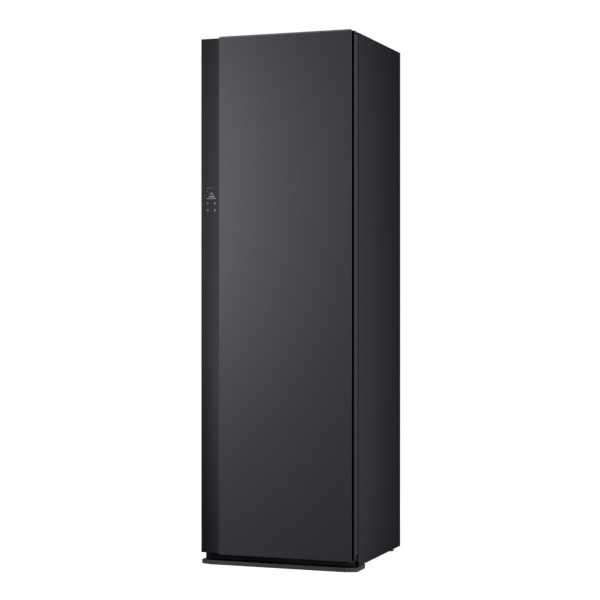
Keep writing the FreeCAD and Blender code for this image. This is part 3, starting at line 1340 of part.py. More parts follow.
def feed_pump():
    """Small pump that feeds the boiler, lying in a saddle."""
    axis_z = PAN_TOP + PUMP_R + PUMP_LIFT
    barrel = rod(PUMP_R, V(PUMP_X, PUMP_Y - PUMP_L / 2, axis_z), V(PUMP_X, PUMP_Y + PUMP_L / 2, axis_z))
    saddle = block(
        PUMP_X - PUMP_R, PUMP_X + PUMP_R, PUMP_Y - PUMP_L / 3, PUMP_Y + PUMP_L / 3, PAN_TOP, axis_z)
    spout = upright(PUMP_SPOUT_R, PUMP_X, PUMP_Y, axis_z, axis_z + PUMP_R + PUMP_SPOUT_H)
    return joined(barrel, saddle, spout)


def main_board_case():
    """Control electronics box on the left side panel."""
    x0 = -INNER_W
    case = block(
        x0, x0 + BOARD_T, BOARD_Y - BOARD_D / 2, BOARD_Y + BOARD_D / 2, BOARD_Z, BOARD_Z + BOARD_H)
    return rounded(case, BOARD_R, X_AXIS)


def power_inlet():
    """Cable inlet: a face level with the back sheet, a flange behind it and a gland tube inward."""
    half_w = INLET_W / 2 + INLET_FLANGE
    half_h = INLET_H / 2 + INLET_FLANGE
    inner = BACK_Y - SHEET_T
    flange = block(
        INLET_X - half_w, INLET_X + half_w, inner - INLET_FLANGE_T, inner, INLET_Z - half_h, INLET_Z + half_h)
    start = V(INLET_X, inner - INLET_DEPTH, INLET_Z)
    tube = rod(INLET_R, start, V(INLET_X, inner, INLET_Z))
    bore = rod(CABLE_BORE_R, start, V(INLET_X, BACK_Y, INLET_Z))
    return without(joined(inlet_hole(), rounded(flange, INLET_FLANGE, Y_AXIS), tube), bore)


# ---------------------------------------------------------------- moving hanger drive
def stem_slots(z0, z1):
    """Slots that let the hanger stems slide from side to side."""
    half = STEM_R + STROKE + STEM_SLOT_GAP
    depth = STEM_R + STEM_SLOT_GAP
    return [
        rounded(block(x - half, x + half, HANG_Y - depth, HANG_Y + depth, z0, z1), STEM_R, Z_AXIS)
        for x in (-STEM_X, STEM_X)]


def drive_bracket():
    """Rail plate on the ceiling, four rail posts and the top plate with the crank stub."""
    half_y = RAIL_SPREAD + POST_W / 2
    x0 = MOTOR_X - PLATE_MARGIN
    x1 = RAIL_HALF + POST_T / 2
    plate = block(x0, x1, HANG_Y - half_y, HANG_Y + half_y, CEILING_TOP, RAIL_TOP)
    top = block(x0, x1, HANG_Y - half_y, HANG_Y + half_y, TOP_PLATE_Z, TOP_PLATE_Z + TOP_PLATE_T)
    posts = []
    for x in (-RAIL_HALF, RAIL_HALF):
        for y in (HANG_Y - RAIL_SPREAD, HANG_Y + RAIL_SPREAD):
            posts.append(block(
                x - POST_T / 2, x + POST_T / 2, y - POST_W / 2, y + POST_W / 2, RAIL_TOP, TOP_PLATE_Z))
    stub = upright(SHAFT_R, 0, HANG_Y, PULLEY_BOTTOM - SHAFT_END, TOP_PLATE_Z)
    body = joined(plate, top, *posts, stub)
    rods = [
        rod(RAIL_R, V(-RAIL_HALF - POST_T / 2, y, ROD_Z), V(RAIL_HALF + POST_T / 2, y, ROD_Z))
        for y in (HANG_Y - RAIL_SPREAD, HANG_Y + RAIL_SPREAD)]
    shaft_hole = upright(MOTOR_SHAFT_R + SHAFT_HOLE_GAP, MOTOR_X, HANG_Y, TOP_PLATE_Z, TOP_PLATE_Z + TOP_PLATE_T)
    return without(body, *rods, shaft_hole, *stem_slots(CEILING_TOP, RAIL_TOP))


def guide_rods():
    """Two polished rods that the shuttle slides on."""
    end = RAIL_HALF + POST_T / 2
    return [
        rod(RAIL_R, V(-end, y, ROD_Z), V(end, y, ROD_Z))
        for y in (HANG_Y - RAIL_SPREAD, HANG_Y + RAIL_SPREAD)]


def hanger_shuttle():
    """Sliding yoke with the slot for the crank pin and the two stems."""
    half_y = RAIL_SPREAD + SHUTTLE_SIDE
    z0 = ROD_Z - SHUTTLE_T / 2
    z1 = ROD_Z + SHUTTLE_T / 2
    body = rounded(
        block(-SHUTTLE_HALF, SHUTTLE_HALF, HANG_Y - half_y, HANG_Y + half_y, z0, z1), SHUTTLE_R, Z_AXIS)
    stems = [upright(STEM_R, x, HANG_Y, BAR_Z, z0) for x in (-STEM_X, STEM_X)]
    bore_r = RAIL_R + RUN_GAP
    bores = [
        rod(bore_r, V(-SHUTTLE_HALF, y, ROD_Z), V(SHUTTLE_HALF, y, ROD_Z))
        for y in (HANG_Y - RAIL_SPREAD, HANG_Y + RAIL_SPREAD)]
    half_slot = CRANK_PIN_R + SLOT_CLEAR
    reach = ECCENTRIC + CRANK_PIN_R + YOKE_SLOT_END
    slot = block(-half_slot, half_slot, HANG_Y - reach, HANG_Y + reach, z0, z1)
    near = STEM_R + YOKE_WEB
    windows = []
    for x in (-YOKE_WINDOW_X, YOKE_WINDOW_X):
        for y0, y1 in ((-YOKE_WINDOW_REACH, -near), (near, YOKE_WINDOW_REACH)):
            windows.append(block(
                x - YOKE_WINDOW_W / 2, x + YOKE_WINDOW_W / 2, HANG_Y + y0, HANG_Y + y1, z0, z1))
    bar = rod(BAR_R, V(-BAR_HALF, HANG_Y, BAR_Z), V(BAR_HALF, HANG_Y, BAR_Z))
    return without(joined(body, *stems), *bores, slot, *windows, bar)


def hanger_bar():
    """Round hanging bar with end stops."""
    bar = rod(BAR_R, V(-BAR_HALF, HANG_Y, BAR_Z), V(BAR_HALF, HANG_Y, BAR_Z))
    stops = []
    for side in (-1, 1):
        outer = side * BAR_HALF
        stops.append(rod(BAR_STOP_R, V(outer - side * BAR_STOP_T, HANG_Y, BAR_Z), V(outer, HANG_Y, BAR_Z)))
    return joined(bar, *stops)


def belt_levels():
    """Lower and upper edge of the belt between the pulley flanges."""
    return PULLEY_BOTTOM + PULLEY_FLANGE + FACE_GAP, PULLEY_TOP - PULLEY_FLANGE - FACE_GAP


def grooved_pulley(x, radius):
    """Pulley with two flanges and a flat groove for the belt."""
    body = upright(radius, x, HANG_Y, PULLEY_BOTTOM, PULLEY_TOP)
    groove_z0 = PULLEY_BOTTOM + PULLEY_FLANGE
    groove_z1 = PULLEY_TOP - PULLEY_FLANGE
    groove = without(
        upright(radius + FACE_GAP, x, HANG_Y, groove_z0, groove_z1),
        upright(radius - BELT_T - FACE_GAP, x, HANG_Y, groove_z0, groove_z1))
    return without(body, groove)


def eccentric_pulley():
    """Driven pulley with the eccentric pin that moves the shuttle."""
    pin_y = HANG_Y + ECCENTRIC
    pin = upright(CRANK_PIN_R, 0, pin_y, PULLEY_BOTTOM - CRANK_PIN_GRIP, PULLEY_BOTTOM)
    bore = upright(SHAFT_R + RUN_GAP, 0, HANG_Y, PULLEY_BOTTOM, PULLEY_TOP)
    windows = []
    for angle in (-30, 210):
        x = PULLEY_WINDOW_SET * cos(radians(angle))
        y = PULLEY_WINDOW_SET * sin(radians(angle))
        windows.append(upright(PULLEY_WINDOW_R, x, HANG_Y + y, PULLEY_BOTTOM, PULLEY_TOP))
    return without(joined(grooved_pulley(0, DRIVEN_R), pin), bore, *windows)


def motor_pulley():
    """Small pulley on the drive motor's shaft."""
    bore = upright(MOTOR_SHAFT_R + RUN_GAP, MOTOR_X, HANG_Y, PULLEY_BOTTOM, PULLEY_TOP)
    return without(grooved_pulley(MOTOR_X, DRIVER_R), bore)


def belt_outline(big, small, z):
    """Closed loop round both pulleys: two arcs and the two straight runs."""
    reach = -MOTOR_X
    lean = acos((big - small) / reach)
    away = pi - lean
    big_top = V(big * cos(away), HANG_Y + big * sin(away), z)
    big_low = V(big * cos(away), HANG_Y - big * sin(away), z)
    small_top = V(MOTOR_X + small * cos(away), HANG_Y + small * sin(away), z)
    small_low = V(MOTOR_X + small * cos(away), HANG_Y - small * sin(away), z)
    return Part.Wire([
        Part.LineSegment(small_top, big_top).toShape(),
        Part.Arc(big_top, V(big, HANG_Y, z), big_low).toShape(),
        Part.LineSegment(big_low, small_low).toShape(),
        Part.Arc(small_low, V(MOTOR_X - small, HANG_Y, z), small_top).toShape()])


def drive_belt():
    """Flat belt round the motor pulley and the driven pulley."""
    z0, z1 = belt_levels()
    run = V(0, 0, z1 - z0)
    outer = Part.Face(belt_outline(DRIVEN_R, DRIVER_R, z0)).extrude(run)
    inner = Part.Face(belt_outline(DRIVEN_R - BELT_T, DRIVER_R - BELT_T, z0)).extrude(run)
    return without(outer, inner)


def hanger_motor():
    """Drive motor standing on the top plate, shaft down to its pulley."""
    z0 = TOP_PLATE_Z + TOP_PLATE_T
    can = upright(MOTOR_R, MOTOR_X, HANG_Y, z0, z0 + MOTOR_H)
    can = can.makeChamfer(CAN_BEVEL, edges_on(can, Z_AXIS, z0 + MOTOR_H))
    shaft = upright(MOTOR_SHAFT_R, MOTOR_X, HANG_Y, PULLEY_BOTTOM - SHAFT_END, z0)
    return joined(can, shaft)


# ---------------------------------------------------------------- clothes hangers
def clothes_hanger(x):
    """Moulded hanger with a wire hook over the bar."""

    def at(y, z):
        """Point in the hanger's own plane, measured from the bar."""
        return V(x, HANG_Y + y, BAR_Z + z)

    def on_hook(angle):
        """Point of the hook's round part."""
        return at(HOOK_R * cos(radians(angle)), HOOK_R * sin(radians(angle)))

    neck_z = -HOOK_R / sin(radians(HOOK_TANGENT))
    tip = on_hook(HOOK_OPEN)
    leave = on_hook(-HOOK_TANGENT)
    foot = at(0, neck_z)
    tip_run = V(0, sin(radians(HOOK_OPEN)), -cos(radians(HOOK_OPEN)))
    sweep = HOOK_OPEN + HOOK_TANGENT
    hook = joined(
        bend(HOOK_WIRE, tip, tip_run, at(0, 0), X_AXIS * -1, sweep), rod(HOOK_WIRE, leave, foot))
    neck_low = neck_z - HANGER_NECK_H
    neck = rounded(
        block(x - HANGER_T / 2, x + HANGER_T / 2, HANG_Y - HANGER_NECK, HANG_Y + HANGER_NECK,
              BAR_Z + neck_low, BAR_Z + neck_z + HANGER_NECK_TOP), HANGER_NECK_R, Z_AXIS)
    shoulder_z = neck_low + HANGER_NECK_LAP
    crown_z = shoulder_z - HANGER_CROWN_DROP
    tip_z = -HANGER_DROP
    upper = Part.Arc(
        at(HANGER_NECK, shoulder_z), at(HANGER_CROWN_X, crown_z), at(HANGER_HALF, tip_z)).toShape()
    lower = Part.Arc(
        at(HANGER_HALF, tip_z - HANGER_H), at(HANGER_SAG_X, crown_z - HANGER_H),
        at(0, shoulder_z - HANGER_H)).toShape()
    outline = Part.Wire([
        Part.LineSegment(at(0, shoulder_z), at(HANGER_NECK, shoulder_z)).toShape(), upper,
        Part.LineSegment(at(HANGER_HALF, tip_z), at(HANGER_HALF, tip_z - HANGER_H)).toShape(), lower,
        Part.LineSegment(at(0, shoulder_z - HANGER_H), at(0, shoulder_z)).toShape()])
    half = Part.Face(outline).extrude(V(HANGER_T, 0, 0))
    half.translate(V(-HANGER_T / 2, 0, 0))
    other = half.mirror(V(x, HANG_Y, 0), Y_AXIS)
    return joined(hook, neck, half, other)


# ---------------------------------------------------------------- export
def all_parts():
    """Every node's name with its shape or list of shapes."""
    parts = {
        "door_glass": door_glass(),
        "glass_carrier": glass_carrier(),
        "control_strip": control_strip(),
        "display_module": display_module(),
        "door_frame": door_frame(),
        "door_liner": door_liner(),
        "door_gasket": door_gasket(),
        "press_base": press_base(),
        "press_plate": press_plate(),
        "press_latch": press_latch(),
        "upper_hinge_bracket": upper_hinge_bracket(),
        "lower_hinge_bracket": lower_hinge_bracket(),
        "left_side_panel": side_panel(-1),
        "right_side_panel": side_panel(1),
        "top_panel": top_panel(),
        "back_panel": back_panel(),
        "base_pan": base_pan(),
        "front_frame": front_frame(),
        "kick_plinth": kick_plinth(),
        "base_ledge": base_ledge(),
        "left_inner_wall": inner_wall(-1),
        "right_inner_wall": inner_wall(1),
        "rear_inner_wall": rear_inner_wall(),
        "chamber_ceiling": chamber_ceiling(),
        "chamber_floor": chamber_floor(),
        "shelf": shelf(),
        "tank_bay": tank_bay(),
        "supply_tank": tank(-1),
        "supply_tank_lid": tank_lid(-1),
        "drain_tank": tank(1),
        "drain_tank_lid": tank_lid(1),
        "air_duct": air_duct(),
        "evaporator": coil(EVAPORATOR_Y),
        "condenser": coil(CONDENSER_Y),
        "fan_housing": fan_housing(),
        "fan_rotor": fan_rotor(),
        "fan_motor": fan_motor(),
        "lint_filter": lint_filter(),
        "aroma_cartridge": aroma_cartridge(),
        "steam_generator": steam_generator(),
        "steam_hose": steam_hose(),
        "steam_nozzle": steam_nozzle(),
        "compressor": compressor(),
        "feed_pump": feed_pump(),
        "main_board_case": main_board_case(),
        "power_inlet": power_inlet(),
        "drive_bracket": drive_bracket(),
        "guide_rods": guide_rods(),
        "hanger_shuttle": hanger_shuttle(),
        "hanger_bar": hanger_bar(),
        "eccentric_pulley": eccentric_pulley(),
        "motor_pulley": motor_pulley(),
        "drive_belt": drive_belt(),
        "hanger_motor": hanger_motor(),
        "hanger_left": clothes_hanger(-HANGER_X),
        "hanger_right": clothes_hanger(HANGER_X)}
    for name, (x, y) in foot_places().items():
        parts[name] = levelling_foot(x, y)
    return parts


def export():
    """Write each node to its own STEP file."""
    os.makedirs("parts", exist_ok=True)
    for name, shape in all_parts().items():
        solids = shape if isinstance(shape, list) else shape.Solids
        if len(solids) == 1:
            whole = solids[0]
        else:
            whole = Part.makeCompound(solids)
        whole.exportStep(f"parts/{name}.step")
        print(name, len(solids), "solid(s)", round(whole.Volume / 1000, 1), "cm3")


export()
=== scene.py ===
"""Looks of the clothes care steam cabinet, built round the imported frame. Metres, +Z up, front is -Y."""

import json
from math import cos, pi, radians, sin

import bmesh
import bpy
from mathutils import Matrix, Vector


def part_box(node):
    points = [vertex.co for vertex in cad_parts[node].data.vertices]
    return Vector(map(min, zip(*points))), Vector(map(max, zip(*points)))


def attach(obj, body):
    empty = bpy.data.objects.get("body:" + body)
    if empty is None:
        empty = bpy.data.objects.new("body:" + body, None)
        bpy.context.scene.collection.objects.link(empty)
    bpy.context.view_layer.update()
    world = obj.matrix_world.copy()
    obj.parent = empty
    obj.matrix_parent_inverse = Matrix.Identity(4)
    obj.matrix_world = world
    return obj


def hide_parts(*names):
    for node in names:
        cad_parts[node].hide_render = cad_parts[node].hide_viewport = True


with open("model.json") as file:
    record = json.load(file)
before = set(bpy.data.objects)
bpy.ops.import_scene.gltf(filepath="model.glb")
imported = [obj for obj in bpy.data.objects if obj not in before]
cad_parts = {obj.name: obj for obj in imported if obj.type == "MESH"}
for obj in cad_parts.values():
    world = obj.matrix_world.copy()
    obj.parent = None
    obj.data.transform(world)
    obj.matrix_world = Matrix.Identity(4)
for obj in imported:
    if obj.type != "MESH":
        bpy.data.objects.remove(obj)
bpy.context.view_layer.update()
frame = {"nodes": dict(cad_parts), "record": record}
nodes = frame["nodes"]
AXES = "XYZ"

# ---------------------------------------------------------------- colours, as sRGB
GLASS = (35, 34, 42)
# painted highlight: paler tone for the glass's upward-facing ground edge
GLASS_TOP_HIGHLIGHT = (96, 96, 101)
STRIP_DARK = (4, 4, 5)
# ends of the strip's painted reflection: shaded at the left, lit towards the grip side
STRIP_SHADED_LEFT = (24, 23, 28)
STRIP_LIT_RIGHT = (49, 48, 57)
CARRIER = (2, 2, 2)
DOOR_SIDE = (38, 38, 42)
BODY_SIDE = (45, 45, 51)
FRONT_FLANGE = (42, 41, 45)
PLINTH = (45, 45, 49)
# painted shade for the plinth's right end face
PLINTH_END_SHADE = (1, 1, 1)
LEDGE = (56, 56, 58)
# painted shadow on the ledge's upper face, and painted shade and light on its left and right ends
LEDGE_TOP_SHADOW = (5, 5, 6)
LEDGE_LEFT_END_SHADE = (38, 38, 40)
LEDGE_RIGHT_END_LIGHT = (61, 61, 63)
# painted highlight tone for edges at the ledge's ends and by the lower hinge
EDGE_HIGHLIGHT_TONE = (70, 70, 72)
LINER = (196, 197, 199)
BAY = (138, 140, 143)
MARK = (120, 117, 125)
DIM_MARK = (68, 67, 72)


def linear(srgb):
    """Scene-linear RGBA of an sRGB colour given in 0 to 255."""
    values = []
    for channel in srgb:
        c = channel / 255
        values.append(c / 12.92 if c <= 0.04045 else ((c + 0.055) / 1.055) ** 2.4)
    return (*values, 1.0)


# ---------------------------------------------------------------- materials
def shader_of(material):
    """The material's Principled shader."""
    return material.node_tree.nodes["Principled BSDF"]


def surface(name, colour, roughness, metallic=0.0, specular=0.5, grain=900.0, bump=0.02, mottle=0.06,
            spread=0.06, stretch=(1.0, 1.0, 1.0), depth=0.0004):
    """Principled material whose colour, roughness and fine bump vary with noise."""
    material = bpy.data.materials.new(name)
    material.use_nodes = True
    tree = material.node_tree
    shader = shader_of(material)
    shader.inputs["Metallic"].default_value = metallic
    shader.inputs["Specular IOR Level"].default_value = specular
    place = tree.nodes.new("ShaderNodeTexCoord")
    stretched = tree.nodes.new("ShaderNodeMapping")
    stretched.inputs["Scale"].default_value = stretch
    tree.links.new(place.outputs["Object"], stretched.inputs["Vector"])

    def noise(source, scale, detail):
        """Noise in the object's own space."""
        node = tree.nodes.new("ShaderNodeTexNoise")
        node.inputs["Scale"].default_value = scale
        node.inputs["Detail"].default_value = detail
        tree.links.new(source, node.inputs["Vector"])
        return node.outputs["Fac"]

    base = linear(colour)
    tint = tree.nodes.new("ShaderNodeMix")
    tint.data_type = "RGBA"
    tint.inputs["A"].default_value = tuple(c * (1 - mottle) for c in base[:3]) + (1,)
    tint.inputs["B"].default_value = tuple(min(1, c * (1 + mottle)) for c in base[:3]) + (1,)
    tree.links.new(noise(place.outputs["Object"], scale=6.0, detail=3.0), tint.inputs["Factor"])
    tree.links.new(tint.outputs["Result"], shader.inputs["Base Color"])
    gloss = tree.nodes.new("ShaderNodeMapRange")
    gloss.inputs["To Min"].default_value = max(0.02, roughness - spread)
    gloss.inputs["To Max"].default_value = min(1.0, roughness + spread)
    tree.links.new(noise(stretched.outputs["Vector"], scale=14.0, detail=4.0), gloss.inputs["Value"])
    tree.links.new(gloss.outputs["Result"], shader.inputs["Roughness"])
    relief = tree.nodes.new("ShaderNodeBump")
    relief.inputs["Strength"].default_value = bump
    relief.inputs["Distance"].default_value = depth
    tree.links.new(noise(stretched.outputs["Vector"], scale=grain, detail=2.0), relief.inputs["Height"])
    tree.links.new(relief.outputs["Normal"], shader.inputs["Normal"])
    return material


def waved(material, scale, direction, depth):
    """Adds fine parallel grooves, such as fins or mesh wires, on top of a material's own bump."""
    tree = material.node_tree
    place = tree.nodes.new("ShaderNodeTexCoord")
    wave = tree.nodes.new("ShaderNodeTexWave")
    wave.bands_direction = direction
    wave.inputs["Scale"].default_value = scale
    tree.links.new(place.outputs["Object"], wave.inputs["Vector"])
    ridge = tree.nodes.new("ShaderNodeBump")
    ridge.inputs["Strength"].default_value = 0.6
    ridge.inputs["Distance"].default_value = depth
    tree.links.new(wave.outputs["Fac"], ridge.inputs["Height"])
    normal = shader_of(material).inputs["Normal"]
    tree.links.new(normal.links[0].from_socket, ridge.inputs["Normal"])
    tree.links.new(ridge.outputs["Normal"], normal)
    return material


def component(tree, coordinate, axis, start, end):
    """Factor that goes from 0 to 1 while one part of a texture coordinate goes from start to end."""
    place = tree.nodes.new("ShaderNodeTexCoord")
    parts = tree.nodes.new("ShaderNodeSeparateXYZ")
    tree.links.new(place.outputs[coordinate], parts.inputs[0])
    factor = tree.nodes.new("ShaderNodeMapRange")
    factor.inputs["From Min"].default_value = start
    factor.inputs["From Max"].default_value = end
    tree.links.new(parts.outputs[axis], factor.inputs["Value"])
    return factor.outputs["Result"]


def ramp(tree, node, axis, stops, interpolation):
    """Colour ramp along one axis of a CAD node's box; stops hold share of the way and colour."""
    low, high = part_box(node)
    index = AXES.index(axis)
    colours = tree.nodes.new("ShaderNodeValToRGB")
    colours.color_ramp.interpolation = interpolation
    elements = colours.color_ramp.elements
    while len(elements) < len(stops):
        elements.new(0.5)
    for element, (share, colour) in zip(elements, stops):
        element.position = share
        element.color = colour
    tree.links.new(component(tree, "Object", axis, low[index], high[index]), colours.inputs["Fac"])
    return colours.outputs["Color"]


def facing(material, colour, axis, start, full):
    """Painted light and shade by direction: changes a finish to another colour where the surface turns
    towards an axis, or away from it.
    """
    tree = material.node_tree
    base = shader_of(material).inputs["Base Color"]
    blend = tree.nodes.new("ShaderNodeMix")
    blend.data_type = "RGBA"
    blend.inputs["B"].default_value = linear(colour)
    tree.links.new(component(tree, "Normal", axis, start, full), blend.inputs["Factor"])
    tree.links.new(base.links[0].from_socket, blend.inputs["A"])
    tree.links.new(blend.outputs["Result"], base)
    return material


def shaded(material, node, axis, stops):
    """Painted light and shade: slow change of a finish's tone along one axis of a node; stops hold share and
    factor.
    """
    tree = material.node_tree
    base = shader_of(material).inputs["Base Color"]
    tones = ramp(tree, node, axis, [(share, (tone, tone, tone, 1)) for share, tone in stops], "B_SPLINE")
    product = tree.nodes.new("ShaderNodeMix")
    product.data_type = "RGBA"
    product.blend_type = "MULTIPLY"
    product.inputs["Factor"].default_value = 1.0
    tree.links.new(base.links[0].from_socket, product.inputs["A"])
    tree.links.new(tones, product.inputs["B"])
    tree.links.new(product.outputs["Result"], base)
    return material


def glass_finish():
    """Back-painted glass with painted shade deepening its tone towards the hinges and a painted highlight on
    its upward-facing ground edge.
    """
    material = surface(
        "door glass", GLASS, 0.36, specular=0.16, grain=1400, bump=0.01, mottle=0.02, spread=0.03)
    # painted highlight on the bevel faces that turn upwards
    facing(material, GLASS_TOP_HIGHLIGHT, "Z", start=0.1, full=0.2)
    # painted shade: the glass darkens towards the hinge side
    return shaded(material, "door_glass", "X", ((0.0, 0.97), (0.4, 0.93), (1.0, 0.72)))


def ledge_finish():
    """Charcoal moulding with ends painted darker on the left and lighter on the right as light and shade,
    and a painted shadow on its upper face.
    """
    material = surface("ledge charcoal", LEDGE, 0.55, specular=0.05, grain=1800, bump=0.12, mottle=0.04)
    # painted shade on the left end and painted light on the right end
    facing(material, LEDGE_LEFT_END_SHADE, "X", start=-0.3, full=-0.5)
    facing(material, LEDGE_RIGHT_END_LIGHT, "X", start=0.3, full=0.5)
    # painted shadow that makes the upper face black
    return facing(material, LEDGE_TOP_SHADOW, "Z", start=0.2, full=0.5)


def plinth_finish():
    """Plinth with painted shade: darker towards its left, and a right end face painted black."""
    material = surface("plinth black", PLINTH, 0.8, specular=0.0, grain=2200, bump=0.10)
    # painted shade: the plinth darkens towards its left
    shaded(material, "kick_plinth", "X", ((0.0, 0.22), (0.35, 0.58), (0.7, 0.95), (1.0, 1.0)))
    # painted shade: the right end face turns black
    return facing(material, PLINTH_END_SHADE, "X", start=0.3, full=0.6)


def strip_finish():
    """Control glass: black printed border on the left, then painted reflection rising in tone towards the
    grip side.
    """
    material = surface(
        "strip glass", STRIP_SHADED_LEFT, 0.36, specular=0.040, grain=1400, bump=0.01, mottle=0.02, spread=0.03)
    tree = material.node_tree
    across = ramp(tree, "control_strip", "X", (
        (0.030, linear(STRIP_DARK)), (0.040, linear(STRIP_SHADED_LEFT)), (0.18, linear(STRIP_SHADED_LEFT)),
        (0.62, linear(STRIP_LIT_RIGHT))), "LINEAR")
    tree.links.new(across, shader_of(material).inputs["Base Color"])
    # painted highlight and shade up the strip: brightest in its lower third, darker at the foot and the top
    return shaded(material, "control_strip", "Z", (
        (0.02, 0.45), (0.10, 0.50), (0.29, 1.0), (0.39, 0.95), (0.48, 0.79), (0.60, 0.68), (0.93, 0.40)))


def glowing(name, colour, strength):
    """Lit mark behind the control glass."""
    material = surface(name, colour, 0.4)
    shader = shader_of(material)
    shader.inputs["Emission Color"].default_value = linear(colour)
    shader.inputs["Emission Strength"].default_value = strength
    return material


def translucent(name, colour):
    """Tinted tank plastic that lets some light through."""
    material = surface(name, colour, 0.25, bump=0.03)
    shader = shader_of(material)
    shader.inputs["Transmission Weight"].default_value = 0.35
    shader.inputs["IOR"].default_value = 1.49
    return material


BRUSHED = (0.02, 1.0, 1.0)
FINISHES = {
    "tinted_glass": glass_finish(),
    "strip_glass": strip_finish(),
    "carrier_black": surface("carrier black", CARRIER, 0.85, specular=0.0),
    "door_grey": surface("door grey", DOOR_SIDE, 0.55, specular=0.05, grain=1800, bump=0.05, mottle=0.03),
    "display": surface("display block", (40, 42, 44), 0.4),
    "liner_white": surface("liner", LINER, 0.38, specular=0.4, mottle=0.02, bump=0.05),
    "gasket": surface("gasket rubber", (34, 34, 36), 0.75, specular=0.05, bump=0.08),
    "press_board": surface("press moulding", (160, 162, 165), 0.45, bump=0.05),
    "hinge_steel": surface("hinge steel", (30, 30, 32), 0.45, specular=0.2, bump=0.06),
    "side_paint": surface(
        "side paint", BODY_SIDE, 0.6, specular=0.0, grain=1500, bump=0.10, mottle=0.03, depth=0.0003),
    "front_paint": surface(
        "front flange paint", FRONT_FLANGE, 0.6, specular=0.05, grain=1500, bump=0.10, mottle=0.03),
    "back_paint": surface(
        "back paint", (52, 52, 54), 0.6, specular=0.1, grain=1200, bump=0.10, mottle=0.04),
    "pan_steel": surface("pan steel", (30, 30, 31), 0.5, specular=0.1, grain=1200, bump=0.08),
    "plinth_black": plinth_finish(),
    "ledge_charcoal": ledge_finish(),
    "foot_plastic": surface("foot plastic", (96, 96, 98), 0.5, bump=0.06),
    "inner_wall": surface("inner wall", LINER, 0.36, specular=0.4, mottle=0.02, bump=0.05),
    "bay_grey": surface("bay grey", BAY, 0.45, bump=0.06),
    "shelf_steel": surface("shelf steel", (158, 159, 161), 0.34, metallic=1.0, bump=0.05),
    "supply_blue": translucent("supply tank", (150, 176, 196)),
    "drain_grey": translucent("drain tank", (146, 148, 152)),
    "lid_grey": surface("grey moulding", (112, 114, 117), 0.45, bump=0.06),
    "fin_aluminium": waved(
        surface("fins", (186, 187, 189), 0.35, metallic=1.0), scale=180.0, direction="X", depth=0.0004),
    "fan_plastic": surface("fan black", (44, 44, 46), 0.5, bump=0.05),
    "motor_steel": surface("motor can", (165, 166, 168), 0.35, metallic=0.9, stretch=BRUSHED, bump=0.10),
    "filter_mesh": waved(
        waved(surface("filter mesh", (108, 116, 122), 0.55), scale=320.0, direction="X", depth=0.0003),
        scale=320.0, direction="Z", depth=0.0003),
    "aroma_plastic": surface("scent holder", (180, 183, 187), 0.45, bump=0.05),
    "boiler_aluminium": surface("cast boiler", (166, 167, 169), 0.55, metallic=0.8, grain=500, bump=0.35),
    "hose_silicone": surface("silicone hose", (174, 168, 158), 0.5, bump=0.04),
    "compressor_black": surface("compressor", (26, 26, 27), 0.35, bump=0.08),
    "pump_plastic": surface("pump", (110, 111, 113), 0.5, bump=0.05),
    "board_case": surface("control box", (150, 150, 151), 0.5, bump=0.05),
    "bracket_steel": surface(
        "bracket", (160, 162, 164), 0.4, metallic=0.8, grain=300, bump=0.06, mottle=0.12),
    "rod_chrome": surface("guide rod", (212, 212, 214), 0.12, metallic=1.0, bump=0.01),
    "shuttle_plastic": surface("shuttle", (58, 58, 60), 0.5, bump=0.06),
    "bar_steel": surface("hanging bar", (186, 187, 189), 0.28, metallic=1.0, stretch=BRUSHED, bump=0.08),
    "pulley_plastic": surface("pulley", (206, 204, 196), 0.45, bump=0.04),
    "belt_rubber": surface("belt", (28, 28, 28), 0.7, bump=0.08),
    "hanger_plastic": surface("hanger", (84, 86, 88), 0.5, bump=0.08),
}
LIT = glowing("lit marks", MARK, 0.12)
DIM = glowing("dim marks", DIM_MARK, 0.08)
# painted highlight
EDGE_HIGHLIGHT = surface("painted edge highlight", EDGE_HIGHLIGHT_TONE, 0.5, specular=0.1, grain=1800, bump=0.08)
SCREW = surface("screw steel", (120, 121, 123), 0.35, metallic=0.9, bump=0.04)
# painted shade for the screws' cross recesses
SCREW_RECESS_SHADE = surface("screw recess shade", (24, 24, 25), 0.4, specular=0.3, bump=0.04)


# ---------------------------------------------------------------- mesh helpers
def finish_mesh(name, bm, material, body, smooth=False):
    """Turns a bmesh into a piece that rides on a body and takes its finish from a slot."""
    mesh = bpy.data.meshes.new(name)
    bmesh.ops.recalc_face_normals(bm, faces=bm.faces)
    bm.to_mesh(mesh)
    bm.free()
    piece = bpy.data.objects.new(name, mesh)
    bpy.context.collection.objects.link(piece)
    mesh.materials.append(material)
    if smooth:
        for face in mesh.polygons:
            face.use_smooth = True
        mesh.set_sharp_from_angle(angle=radians(35))
    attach(piece, body)
    return piece


def bridge(bm, near, far):
    """Joins two closed loops of vertices with a band of faces."""
    for index in range(len(near)):
        after = (index + 1) % len(near)
        bm.faces.new((near[index], near[after], far[after], far[index]))


def add_prism(bm, outline, axis, start, end):
    """Adds a straight extrusion; the outline holds the two other coordinates in axis order."""
    along = AXES.index(axis)
    other = [index for index in range(3) if index != along]

    def corner(pair, level):
        """Point of the outline at one level along the axis."""
        point = [0.0, 0.0, 0.0]
        point[other[0]], point[other[1]] = pair
        point[along] = level
        return bm.verts.new(point)

    near = [corner(pair, start) for pair in outline]
    far = [corner(pair, end) for pair in outline]
    bm.faces.new(near)
    bm.faces.new(far)
    bridge(bm, near, far)


def plates(name, outlines, axis, start, end, material, body):
    """One piece of flat plates, each an outline extruded along an axis."""
    bm = bmesh.new()
    for outline in outlines:
        add_prism(bm, outline, axis, start, end)
    return finish_mesh(name, bm, material, body)


def rectangle(u0, u1, v0, v1):
    """Corners of an upright rectangle."""
    return [(u0, v0), (u1, v0), (u1, v1), (u0, v1)]


def circle(u, v, radius, count):
    """Points round a circle."""
    return [
        (u + radius * cos(2 * pi * index / count), v + radius * sin(2 * pi * index / count))
        for index in range(count)]


